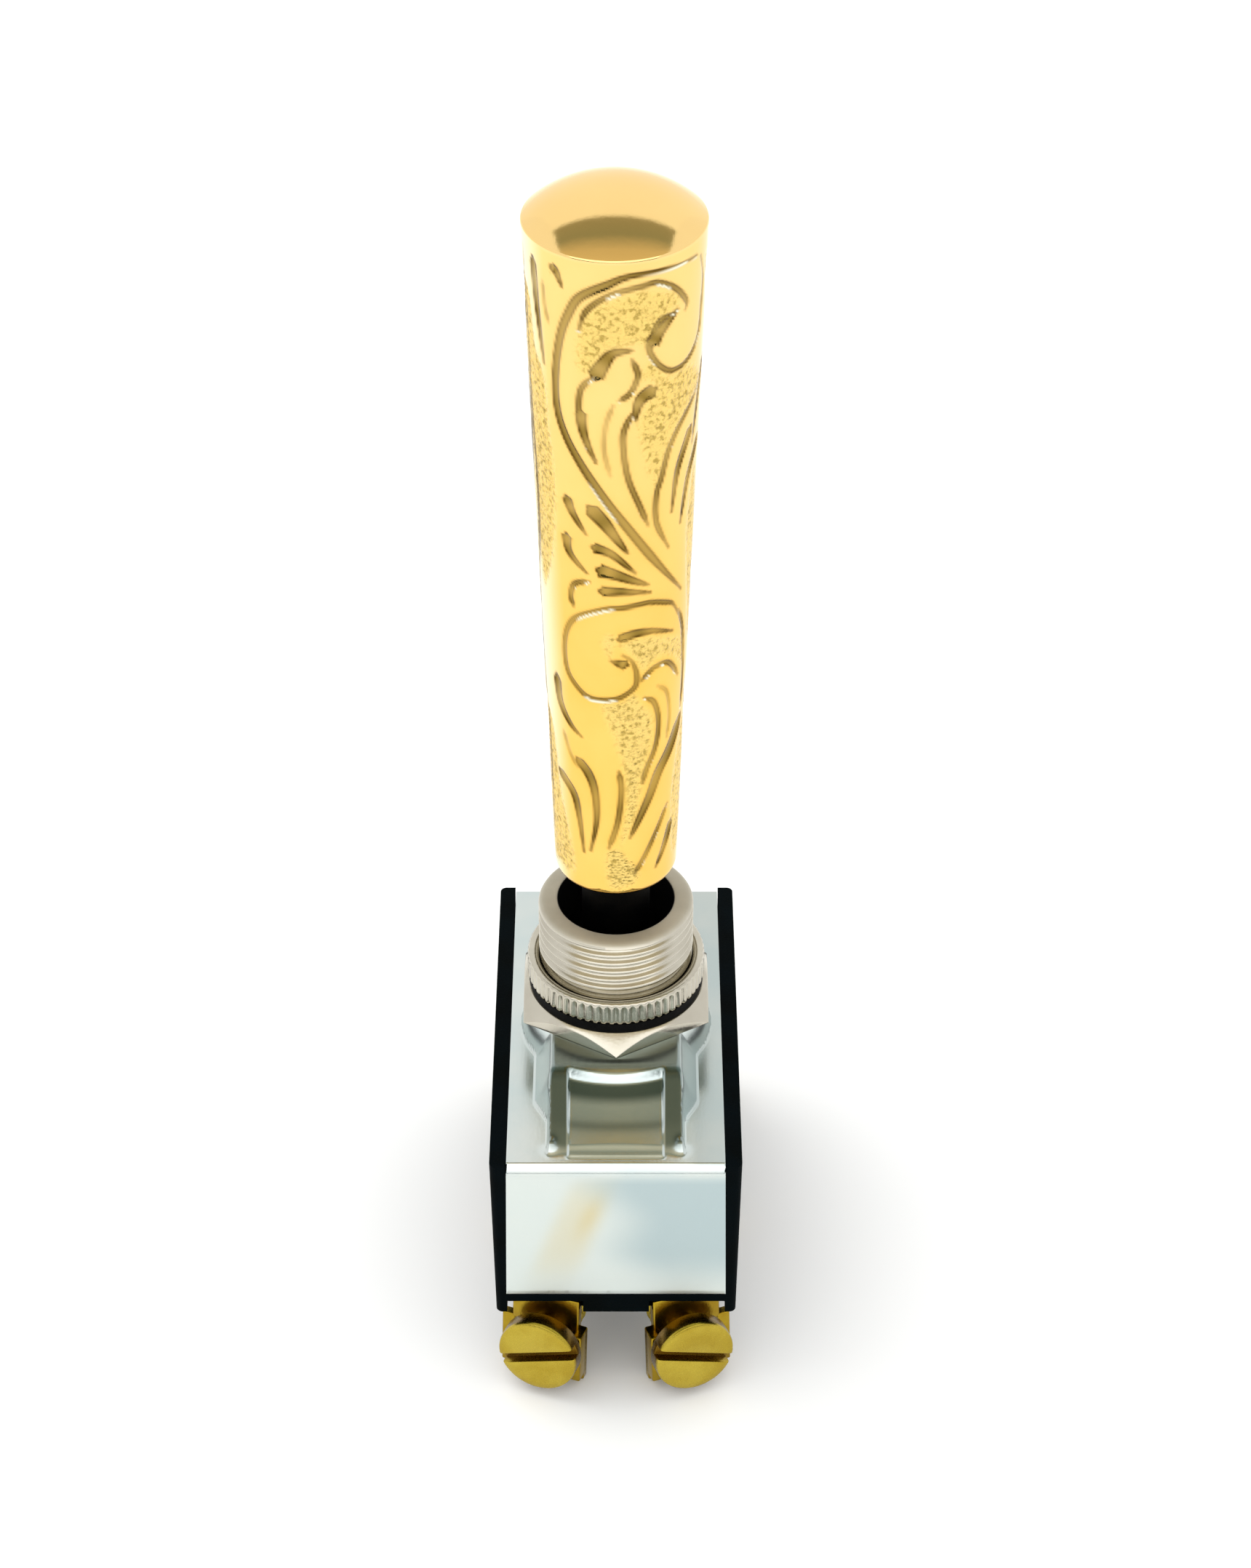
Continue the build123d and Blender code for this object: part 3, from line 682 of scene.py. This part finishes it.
for label, values in (("painted_dark_reflection", painted_dark_reflection), ("stain", stain), ("bloom", bloom), ("end_face", on_end)):
    mark_points(sheet, label, values)
# This dark tint is painted reflection and shade on the ridges, bands and plateau, and darkens the right
# strip.
tinted(zinc, "painted_dark_reflection", (0.09, 0.13, 0.115))
tinted(zinc, "end_face", (0.74, 0.79, 0.76), 0.8)
tinted(zinc, "stain", (0.70, 0.64, 0.43))
tinted(zinc, "bloom", (0.43, 0.54, 0.565), 0.78)
roughened(zinc, "end_face", 0.28)
fit(sheet, "pressed_frame", zinc, "base", "zinc_steel", "top_frame")

# ================================================================ bushing
# Turned brass bushing, nickel plated, with a 15/32-32 thread, a relief groove under the
# thread, a dull lip, and a bore painted black inside as shade.
THREAD_RADIUS = 5.95
THREAD_PITCH = 0.794
THREAD_DEPTH = 0.36
THREAD_HIGH = 8.72
THREAD_LOW = 4.82
ROWS_PER_PITCH = 16
BUSHING_TOP = 9.24
BUSHING_BORE = 4.43
BUSHING_AROUND = 240
thread_rows = np.linspace(THREAD_HIGH, THREAD_LOW,
                          int((THREAD_HIGH - THREAD_LOW) / THREAD_PITCH * ROWS_PER_PITCH))
bushing_outline = [(BUSHING_BORE, -1.9), (BUSHING_BORE, 9.08), (4.47, 9.18), (4.56, 9.23),
                   (4.7, BUSHING_TOP), (5.35, BUSHING_TOP), (5.6, 9.19), (5.82, 9.05), (5.93, 8.86)]
bushing_outline += [(THREAD_RADIUS, z) for z in thread_rows]
bushing_outline += [(5.5, 4.73), (5.46, 4.62), (5.46, 4.2), (5.5, 4.1), (5.9, 4.1), (5.9, 0),
                    (5.2, 0), (5.2, -0.9), (6.0, -0.9), (6.0, -1.9), (BUSHING_BORE, -1.9)]
bushing = turned(bushing_outline, BUSHING_AROUND)
cut_thread(bushing, THREAD_RADIUS, THREAD_PITCH, THREAD_DEPTH, 4.7, 9.0)
tidy_mesh(bushing, 60)
nickel = mottled(finish("satin_nickel", 1.0), (0.60, 0.565, 0.475), (0.52, 0.485, 0.40),
                 300, 5200, 0.17, 0.06, 0.6, 0.004)
nickel_with_shaded_bore = mottled(finish("nickel_with_shaded_bore", 1.0, Specular_IOR_Level=0.02), (0.60, 0.565, 0.475),
                       (0.52, 0.485, 0.40), 300, 5200, 0.19, 0.05, 0.15, 0.001)
places = positions(bushing)
mark_points(bushing, "bore", np.hypot(places[:, 0], places[:, 1]) < BUSHING_BORE + 0.07)
mark_points(bushing, "lip", smooth_step(8.9, 9.15, places[:, 2]))
# The bore is painted black as shade.
tinted(nickel_with_shaded_bore, "bore", (0.004, 0.004, 0.004))
roughened(nickel_with_shaded_bore, "lip", 0.5)
# Painted shade: the bore is a dull black that is no metal, so that it doesn't mirror the handle's gold.
nodes, links = nickel_with_shaded_bore.node_tree.nodes, nickel_with_shaded_bore.node_tree.links
shaded_bore = nodes.new("ShaderNodeAttribute")
shaded_bore.attribute_name = "bore"
bare = nodes.new("ShaderNodeMath")
bare.operation = "SUBTRACT"
bare.inputs[0].default_value = 1.0
links.new(shaded_bore.outputs["Fac"], bare.inputs[1])
links.new(bare.outputs[0], nodes["Principled BSDF"].inputs["Metallic"])
fit(bushing, "threaded_bushing", nickel_with_shaded_bore, "base", "nickel", "bushing")

# ================================================================ lever and its mechanism
# Black-oxide steel lever on a cross pin; below it a moulded yoke holds two sprung plungers.
oxide = mottled(finish("black_oxide", 1.0), (0.004, 0.004, 0.004), (0.008, 0.007, 0.006),
                500, 4000, 0.45, 0.2, 0.3, 0.01)
steel = mottled(finish("plain_steel", 1.0), (0.55, 0.55, 0.55), (0.42, 0.42, 0.41),
                500, 5000, 0.25, 0.2, 0.5, 0.01)
moulding = mottled(finish("brown_moulding"), (0.10, 0.075, 0.055), (0.07, 0.05, 0.04),
                   700, 6000, 0.4, 0.2, 0.2, 0.02)
dress("lever", oxide)
dress("pivot_pin", steel)
dress("actuator_yoke", moulding)
for side in ("left", "right"):
    dress(f"plunger_{side}", moulding)
    dress(f"spring_{side}", steel)

# ================================================================ hex nut, washer, knurled nut
# The thin hex nut holds the frame to the bushing. A black rubber washer and a fine-knurled
# ring nut sit over it; the panel goes between them. All are nickel plated but the washer.
HEX_FLATS = 14.29
HEX_HEIGHT = 1.4
NUT_BORE = 5.97
corner = HEX_FLATS / 2 / cos(radians(30))
bpy.ops.mesh.primitive_cylinder_add(vertices=6, radius=corner * MM, depth=HEX_HEIGHT * MM,
                                    location=(0, 0, HEX_HEIGHT / 2 * MM))
hex_nut = bpy.context.active_object
bpy.ops.object.transform_apply(location=True, rotation=True, scale=True)
crown = turned([(0, -0.2), (corner + 2, -0.2), (corner + 0.06, 0.02), (6.88, HEX_HEIGHT + 0.02),
                (6.8, HEX_HEIGHT + 0.2), (0, HEX_HEIGHT + 0.2)], 120)
apply_modifier(hex_nut, "BOOLEAN", operation="INTERSECT", object=crown, solver="EXACT")
bore = turned([(0, -1), (NUT_BORE, -1), (NUT_BORE, 3), (0, 3)], 96)
apply_modifier(hex_nut, "BOOLEAN", operation="DIFFERENCE", object=bore, solver="EXACT")
for tool in (crown, bore):
    bpy.data.objects.remove(tool)
bevel(hex_nut, 0.09, 3, angle_limit=radians(22))
tidy_mesh(hex_nut, 30)
fit(hex_nut, "thin_hex_nut", nickel, "base", "nickel", "hex_nut")

rubber = mottled(finish("black_rubber", Specular_IOR_Level=0.06), (0.002, 0.002, 0.002),
                 (0.004, 0.004, 0.004), 900, 6000, 0.5, 0.2, 0.2, 0.02)
dress("sealing_washer", rubber)

KNURLS = 66
KNURL_DEPTH = 0.13
RING_FOOT = 2.1
RING_TOP = 4.13
ring = turned([(NUT_BORE, RING_FOOT), (6.6, RING_FOOT), (6.76, 2.16), (6.84, 2.3), (6.85, 2.5),
               (6.85, 3.1), (6.85, 3.7), (6.83, 3.9), (6.74, 4.05), (6.58, RING_TOP), (6.3, RING_TOP),
               (6.12, 4.02), (NUT_BORE, 3.85), (NUT_BORE, RING_FOOT)], KNURLS * 6)
places = positions(ring)
out = np.hypot(places[:, 0], places[:, 1])
wave = np.cos(np.arctan2(places[:, 1], places[:, 0]) * KNURLS)
on_rim = smooth_step(6.6, 6.84, out)
knurl = KNURL_DEPTH * np.clip(0.45 - wave, 0, 1.2) * on_rim * smooth_step(3.98, 3.75, places[:, 2])
places[:, :2] *= ((out - knurl) / out)[:, None]
move_to(ring, places)
tidy_mesh(ring, 50)
fit(ring, "knurled_ring_nut", nickel, "base", "nickel", "knurled_nut")

# ================================================================ handle
# Long tapered gold-plated handle with a shallow dome, engraved all round with leaf scrolls
# on a stippled ground. The far side repeats the front's pattern half a turn round.
HANDLE_FOOT = 12.86
HANDLE_RIM = 67.83
FOOT_RADIUS = 4.58
RIM_RADIUS = 6.33
DOME_RISE = 2.5
STEM_BORE = 2.6
AROUND = 236
FLANK_ROWS = 348
MARK_ZERO = -3.4
RIM_ROUND = 0.3
FOOT_ROUND = 0.7
BORE_DEPTH = 11


def flank_radius(height):
    """Radius of the plain taper at a height."""
    widening = RIM_RADIUS - FOOT_RADIUS
    return FOOT_RADIUS + widening * (height - HANDLE_FOOT) / (HANDLE_RIM - HANDLE_FOOT)


dome_radius = (RIM_RADIUS ** 2 + DOME_RISE ** 2) / (2 * DOME_RISE)
dome_centre = HANDLE_RIM + DOME_RISE - dome_radius
# The rim's rounding meets the dome tangentially.
dome_angle = asin((RIM_RADIUS - RIM_ROUND) / (dome_radius - RIM_ROUND))
rim_low = dome_centre + (dome_radius - RIM_ROUND) * cos(dome_angle)
outline = [(0, HANDLE_FOOT + BORE_DEPTH), (STEM_BORE, HANDLE_FOOT + BORE_DEPTH),
           (STEM_BORE, HANDLE_FOOT + 0.1), (STEM_BORE + 0.1, HANDLE_FOOT)]
outline += [(FOOT_RADIUS - FOOT_ROUND * (1 - sin(a)), HANDLE_FOOT + FOOT_ROUND * (1 - cos(a)))
            for a in np.linspace(0, pi / 2, 8)[:-1]]
outline += [(flank_radius(h), h) for h in np.linspace(HANDLE_FOOT + FOOT_ROUND, rim_low, FLANK_ROWS)]
outline += [(RIM_RADIUS - RIM_ROUND * (1 - sin(a)), rim_low + RIM_ROUND * cos(a))
            for a in np.linspace(pi / 2, dome_angle, 7)[1:-1]]
outline += [(dome_radius * sin(a), dome_centre + dome_radius * cos(a))
            for a in np.linspace(dome_angle, 0, 20)]
handle = turned(outline, AROUND)

# Graver strokes: (degrees round from the front, mm above the frame's flat strips).
# Each kind of cut is (full width, depth, darkness of its painted shade, swelling): even lines
# taper at both ends, leaf cuts start thick and run out to a hair.
GRAVERS = {
    "stem": (0.66, 0.13, 1.0, "even"),
    "line": (0.44, 0.09, 0.9, "even"),
    "hair": (0.34, 0.05, 0.45, "even"),
    "leaf": (0.88, 0.13, 1.0, "drop"),
    "wide": (1.2, 0.15, 1.0, "drop"),
}
SCROLLS = [
    ("stem", [(60, 70), (14, 70.2), (-6, 69.4), (-22, 68.3), (-30, 66.8), (-36, 65.1), (-40.5, 62.7),
              (-42, 60.3), (-40, 58.5), (-34, 56.9), (-25, 55.3), (-15, 53.7), (-3, 51.8), (9, 50),
              (26, 47.4), (42, 45.2), (59, 43.1)]),
    ("line", [(66, 69.7), (72, 67.7), (71, 65.5), (69, 63.8), (61, 62.7), (50, 62.1), (39, 62.1),
              (30, 62.8), (24, 63.8), (22, 64.6), (24, 65.1), (29, 66.2), (38, 66.5), (43, 66.7)]),
    ("wide", [(24, 64.6), (30, 65.5), (43, 66.7)]),
    ("line", [(-23, 65.7), (-19, 67.1), (-11, 68.1), (-1, 68.8), (8, 69.1), (19, 69.3), (28, 69.3),
              (41, 68.4), (51, 67), (50, 66.4)]),
    ("wide", [(-13, 62.2), (-8, 63.2), (-1, 64.2), (11, 64.4)]),
    ("line", [(-13, 62.4), (-22, 61.2), (-24, 59.8), (-23, 58.3), (-19, 56.8), (-13, 55.6)]),
    ("line", [(11, 63.7), (15, 62.5), (13, 61.6), (9, 60.9), (3, 60.5)]),
    ("hair", [(-1, 60.1), (-6, 58.4), (-7, 56.4), (-3, 54.4)]),
    ("leaf", [(-23, 59.4), (-21, 57.6), (-13, 55.4)]),
    ("wide", [(27, 61), (19, 60.6), (15, 59.9), (14, 58.8)]),
    ("line", [(14, 59.8), (7, 58.3), (5.5, 57), (9, 54.2), (18, 51.6), (24, 50)]),
    ("line", [(72, 59.3), (51, 57.5), (40, 55.8), (34, 53.6), (30, 52.2), (31, 49.9), (42, 47.5)]),
    ("leaf", [(63, 56.5), (49, 53.8), (44, 50.4)]),
    ("leaf", [(79, 55), (62, 52.5), (54, 49)]),
    ("leaf", [(84, 61), (74, 58.5), (66, 55)]),
    ("leaf", [(-60, 69.9), (-57, 66), (-52, 62.1)]),
    ("leaf", [(-42, 70), (-38, 69.8), (-34, 68.8)]),
    ("hair", [(-50, 68.6), (-49, 67), (-46, 65.6)]),
    ("leaf", [(-36, 52), (-31, 50.8), (-21, 49.3)]),
    ("leaf", [(-37, 48.8), (-35, 47.4), (-21, 46)]),
    ("wide", [(-18, 51.6), (-8, 50.5), (0, 49.3), (9, 47.9)]),
    ("leaf", [(-16, 48.3), (-2, 47.8), (15, 46.1)]),
    ("wide", [(-12, 46.4), (2, 46), (25, 44.9)]),
    ("leaf", [(-11, 44.6), (6, 44.6), (27, 44.2)]),
    ("line", [(-19, 45.3), (-31, 44.8), (-35, 43.7), (-33, 42.8)]),
    ("line", [(57, 41), (50, 42.2), (43, 42.7), (26, 43.3), (6, 43.2), (-9, 43), (-29, 42), (-39, 40.7),
              (-43, 38.9), (-41, 36.9), (-32, 35.7), (-21, 35), (-5, 35), (6, 35.3), (16, 36.1),
              (17, 37.2), (13, 38.4), (6, 39)]),
    ("leaf", [(9, 38.1), (3, 38.3), (-3, 38.5)]),
    ("leaf", [(3, 40.4), (15, 40.8), (30, 40.7), (50, 39.9)]),
    ("line", [(57, 41.4), (64, 39.6), (68, 37.3), (70, 34.6), (68, 32)]),
    ("line", [(21, 36.5), (33, 37.4), (47, 37.2), (60, 35.5)]),
    ("line", [(24, 34.9), (33, 34.2), (38, 32.4), (36, 30.2), (27, 28.1), (24, 27)]),
    ("hair", [(36, 35.6), (46, 34.6), (50, 32.4), (48, 30.4)]),
    ("wide", [(68, 31.4), (53, 29.2), (40, 27.6), (31, 25.6), (20, 23.4), (13, 22)]),
    ("leaf", [(-54, 35.8), (-51, 33.6), (-40, 32), (-29, 31.2)]),
    ("leaf", [(-57, 27), (-40, 25.7), (-34, 23.6), (-30, 20.3)]),
    ("leaf", [(-34, 29), (-24, 28), (-18, 26.3), (-17, 23.5), (-23, 20.6)]),
    ("hair", [(-48, 31), (-42, 29.4), (-34, 28.2)]),
    ("line", [(3, 28.4), (5, 26.5), (2, 23.6), (-6, 21.1)]),
    ("line", [(52, 24), (40, 22), (28, 20), (18, 18.4)]),
    ("leaf", [(60, 22), (50, 20), (40, 18.4)]),
    ("leaf", [(96, 68), (91, 62), (97, 55), (93, 48)]),
    ("leaf", [(88, 44), (94, 38), (88, 31), (92, 24)]),
    ("line", [(104, 70), (100, 60), (106, 50), (98, 40), (103, 30), (98, 20)]),
]
# Stippled ground between the leaves, as closed outlines in the same measures.
GROUNDS = [
    [(-24, 66), (-15, 67.6), (0, 68.5), (20, 69), (40, 68.2), (46, 67.3), (32, 65.8), (22, 64.6),
     (11, 64.8), (-6, 64), (-14, 62.6), (-25, 62.6)],
    [(15, 62), (24, 63.6), (38, 61.7), (56, 61.9), (74, 60), (52, 57.9), (40, 56.2), (33, 53.6), (27, 53),
     (19, 56), (15, 58.8), (27, 61.2), (20, 61.8)],
    [(-104, 69), (-70, 67), (-62, 63), (-52, 61), (-49, 57), (-45, 53.5), (-46, 50), (-52, 46),
     (-66, 43), (-76, 46), (-82, 54), (-86, 62)],
    [(2, 40), (14, 40.4), (30, 40.3), (50, 39.4), (62, 38.6), (65, 36.4), (50, 37.7), (36, 38),
     (22, 37.2), (16, 38.2), (8, 39.2)],
    [(-12, 34.5), (4, 34.8), (15, 35.5), (24, 34.3), (33, 33), (33, 30.6), (25, 27.8), (22, 25),
     (16, 23.2), (8, 21.6), (4, 21.6), (8, 25), (6, 28.4), (-1, 31)],
    [(-104, 34), (-74, 32), (-62, 30), (-55, 25), (-45, 21.5), (-40, 18), (-62, 17.6), (-84, 18.4),
     (-92, 26)],
    [(-11, 40.2), (-5, 41), (2, 40.4), (-1, 39.4), (-3, 38.6), (-8, 39.2)],
    [(-9, 20.4), (2, 21), (12, 20), (24, 18.4), (14, 17.2), (-6, 17.2)],
    [(73, 53), (80, 50), (86, 45), (80, 38), (73, 41), (66, 45), (64, 49)],
    [(74, 31), (84, 29), (86, 23), (78, 19), (64, 19), (58, 24), (62, 27)],
]


def drawn(points, closed=False, per_span=7):
    """Smooth curve through a few given points."""
    points = [np.array(p, float) for p in points]
    ends = (points[-1], points[0], points[1]) if closed else (points[0], points[-1], points[-1])
    run = [ends[0], *points, *ends[1:]] if closed else [ends[0], *points, ends[1]]
    curve = []
    for a, b, c, d in zip(run, run[1:], run[2:], run[3:]):
        for t in np.linspace(0, 1, per_span, endpoint=False):
            curve.append(0.5 * (2 * b + (c - a) * t + (2 * a - 5 * b + 4 * c - d) * t * t
                                + (3 * b - a - 3 * c + d) * t ** 3))
    if not closed:
        curve.append(points[-1])
    return np.array(curve)


def nearest(curve, angle, height, radius):
    """Distance in mm of each place on the flank from a curve, how far along it and how far above."""
    best = np.full(len(angle), 99.0)
    share = np.zeros(len(angle))
    rise = np.zeros(len(angle))
    spans = len(curve) - 1
    for i in range(spans):
        (a0, h0), (a1, h1) = curve[i], curve[i + 1]
        u0 = ((angle - a0 + 180) % 360 - 180) * radius * pi / 180
        du = (a1 - a0) * radius * pi / 180
        v0, dv = height - h0, h1 - h0
        t = np.clip((u0 * du + v0 * dv) / np.maximum(du * du + dv * dv, 1e-9), 0, 1)
        gap = np.hypot(u0 - t * du, v0 - t * dv)
        closer = gap < best
        best = np.where(closer, gap, best)
        share = np.where(closer, (i + t) / spans, share)
        rise = np.where(closer, v0 - t * dv, rise)
    return best, share, rise


def inside_outline(curve, angle, height):
    """Even-odd test of each place against a closed outline."""
    within = np.zeros(len(angle), bool)
    middle = curve[:, 0].mean()
    turned_angle = (angle - middle + 180) % 360 - 180
    xs, ys = curve[:, 0] - middle, curve[:, 1]
    for x0, y0, x1, y1 in zip(xs, ys, np.roll(xs, -1), np.roll(ys, -1)):
        crosses = (y0 > height) != (y1 > height)
        if y0 != y1:
            within ^= crosses & (turned_angle < x0 + (height - y0) * (x1 - x0) / (y1 - y0))
    return within


NARROWEST_HALF = 0.12
GROUND_DEPTH = 0.1
PUNCH_SPREAD = 0.016
SWELL = {
    "even": lambda t: np.minimum(1, 6 * np.minimum(t, 1 - t) + 0.25),
    "drop": lambda t: np.minimum(1, 8 * t + 0.35) * (1 - t) ** 0.6 + 0.06,
}
places = positions(handle)
x, y, z = places.T
out = np.hypot(x, y)
angle = np.degrees(np.arctan2(x, -y))
height = z - MARK_ZERO
on_flank = (z > HANDLE_FOOT + 0.2) & (z < HANDLE_RIM - 0.05) & (out > flank_radius(z) - 0.4)
on_flank &= out > STEM_BORE + 0.5
cut = np.zeros(len(x))
carved = np.zeros(len(x))
ground = np.zeros(len(x))
halo = np.zeros(len(x))
groove_shade_share = np.zeros(len(x))
glint = np.zeros(len(x))
for half_turn in (0, 180):
    for number, (kind, points) in enumerate(SCROLLS):
        width, depth, darkness, swelling = GRAVERS[kind]
        curve = drawn([(a + half_turn, h) for a, h in points])
        span = np.ptp(curve[:, 0]) / 2 + 12
        off = np.abs((angle - (curve[:, 0].min() + curve[:, 0].max()) / 2 + 180) % 360 - 180)
        near = on_flank & (off < span)
        near &= (height > curve[:, 1].min() - 1) & (height < curve[:, 1].max() + 1)
        gap, share, rise = nearest(curve, angle[near], height[near], out[near])
        swell = SWELL[swelling](share)
        half = np.maximum(width / 2 * swell, NARROWEST_HALF)
        profile = np.clip(1 - gap / half, 0, 1)
        carved[near] = np.maximum(carved[near], depth * swell * smooth_step(0, 0.6, profile))
        cut[near] = np.maximum(cut[near], smooth_step(-0.09, 0.25, half - gap))
        # The painted shade in a cut varies along the stroke; pale glints are painted on some lower lips.
        shade_swing = 0.85 + 0.15 * np.cos(11 * share + 1.7 * number)
        reach = smooth_step(-0.1, 0.05, half - gap) * np.minimum(1, half / 0.16)
        groove_shade_share[near] = np.maximum(groove_shade_share[near], reach * darkness * shade_swing)
        lower_lip = smooth_step(0.35, 0.6, -rise / half) * smooth_step(-0.1, 0.02, half - gap)
        bright_run = smooth_step(0.5, 0.85, np.cos(17 * share + 2.3 * number))
        glint[near] = np.maximum(glint[near], lower_lip * bright_run * (kind in ("stem", "line")))
        # A soft painted shade spreads out round each cut.
        halo[near] = np.maximum(halo[near], swell * np.exp(-np.maximum(gap - half, 0) / 0.38))
    for points in GROUNDS:
        curve = drawn([(a + half_turn, h) for a, h in points], closed=True)
        loop = np.vstack([curve, curve[:1]])
        gap, _, _ = nearest(loop, angle[on_flank], height[on_flank], out[on_flank])
        within = inside_outline(curve, angle[on_flank], height[on_flank])
        signed = np.where(within, gap, -gap)
        ground[on_flank] = np.maximum(ground[on_flank], smooth_step(-0.3, 0.6, signed))
punch = np.random.default_rng(7).normal(0, PUNCH_SPREAD, len(x))
sink = carved + ground * (GROUND_DEPTH + punch) * (1 - cut)
scale = np.where(on_flank, (out - sink) / np.maximum(out, 0.01), 1)
move_to(handle, np.column_stack([x * scale, y * scale, z]))
# Painted shade: the right side of the flank and a halo round each cut turn a darker orange.
warm_painted_shade = np.maximum(0.45 * np.clip(halo, 0, 1), 0.75 * smooth_step(35, 80, angle) * on_flank)
# Painted sheen pales the left edge; the upper flank and the dome are tinted paler too.
pale_tint_and_sheen = np.maximum(0.22 * smooth_step(36, 66, height), 0.9 * smooth_step(-38, -72, angle)) * on_flank
pale_tint_and_sheen = np.maximum(pale_tint_and_sheen, 0.3 * (z > HANDLE_RIM - 0.2))
for label, values in (("cut", cut), ("groove_shade", groove_shade_share), ("ground", ground), ("warm_painted_shade", warm_painted_shade),
                      ("pale_tint_and_sheen", pale_tint_and_sheen), ("glint", glint)):
    mark_points(handle, label, values)
only(handle)
bpy.ops.object.shade_smooth_by_angle(angle=radians(60))

gold = mottled(finish("engraved_gold", 1.0), (1.0, 0.615, 0.155), (0.97, 0.575, 0.13),
               150, 2500, 0.07, 0.06, 0.3, 0.003)
# The orange tint is painted shade.
tinted(gold, "warm_painted_shade", (0.86, 0.53, 0.085))
# The pale tint is painted sheen on the left edge and a paler tone above.
tinted(gold, "pale_tint_and_sheen", (0.95, 0.86, 0.55))
nodes, links = gold.node_tree.nodes, gold.node_tree.links
shader, relief = nodes["Principled BSDF"], nodes["relief"]
stipple = nodes.new("ShaderNodeTexVoronoi")
stipple.inputs["Scale"].default_value = 3600
spots = nodes.new("ShaderNodeTexNoise")
spots.inputs["Scale"].default_value = 2600
spots.inputs["Detail"].default_value = 3
place = nodes.new("ShaderNodeTexCoord")
cut_mark, ground_mark = nodes.new("ShaderNodeAttribute"), nodes.new("ShaderNodeAttribute")
cut_mark.attribute_name, ground_mark.attribute_name = "cut", "ground"
for texture in (stipple, spots):
    links.new(place.outputs["Object"], texture.inputs["Vector"])
speckle = nodes.new("ShaderNodeMapRange")
speckle.inputs["From Min"].default_value = 0.50
speckle.inputs["From Max"].default_value = 0.66
links.new(spots.outputs["Fac"], speckle.inputs["Value"])
speck_share = nodes.new("ShaderNodeMath")
speck_share.operation = "MULTIPLY"
links.new(speckle.outputs["Result"], speck_share.inputs[0])
links.new(ground_mark.outputs["Fac"], speck_share.inputs[1])
ground_tone, speck_tone, cut_tone = (nodes.new("ShaderNodeMix") for _ in range(3))
for tone in (ground_tone, speck_tone, cut_tone):
    tone.data_type = "RGBA"
ground_tone.inputs["B"].default_value = (0.92, 0.66, 0.20, 1)
speck_tone.inputs["B"].default_value = (0.52, 0.36, 0.085, 1)
links.new(shader.inputs["Base Color"].links[0].from_socket, ground_tone.inputs["A"])
links.new(ground_mark.outputs["Fac"], ground_tone.inputs["Factor"])
links.new(ground_tone.outputs["Result"], speck_tone.inputs["A"])
links.new(speck_share.outputs[0], speck_tone.inputs["Factor"])
links.new(speck_tone.outputs["Result"], cut_tone.inputs["A"])
# Painted shade in the cuts: the two edges of a cut are darker than its floor.
groove = nodes.new("ShaderNodeValToRGB")
groove.color_ramp.elements[0].color = (0.30, 0.17, 0.025, 1)
groove.color_ramp.elements.new(0.45).color = (0.085, 0.042, 0.006, 1)
groove.color_ramp.elements.new(0.7).color = (0.17, 0.10, 0.016, 1)
groove.color_ramp.elements[3].color = (0.29, 0.185, 0.036, 1)
links.new(cut_mark.outputs["Fac"], groove.inputs["Fac"])
links.new(groove.outputs["Color"], cut_tone.inputs["B"])
# The painted groove shade is laid over the gold by its share.
groove_shade_mark = nodes.new("ShaderNodeAttribute")
groove_shade_mark.attribute_name = "groove_shade"
links.new(groove_shade_mark.outputs["Fac"], cut_tone.inputs["Factor"])
links.new(cut_tone.outputs["Result"], shader.inputs["Base Color"])
tinted(gold, "glint", (1.0, 0.96, 0.74))
roughened(gold, "ground", 0.3)
pits = nodes.new("ShaderNodeMath")
pits.operation = "MULTIPLY"
links.new(stipple.outputs["Distance"], pits.inputs[0])
links.new(ground_mark.outputs["Fac"], pits.inputs[1])
punched = nodes.new("ShaderNodeBump")
punched.inputs["Distance"].default_value = 0.09 * MM
links.new(pits.outputs[0], punched.inputs["Height"])
links.new(punched.outputs["Normal"], relief.inputs["Normal"])
fit(handle, "engraved_handle", gold, "lever", "gold", "handle")
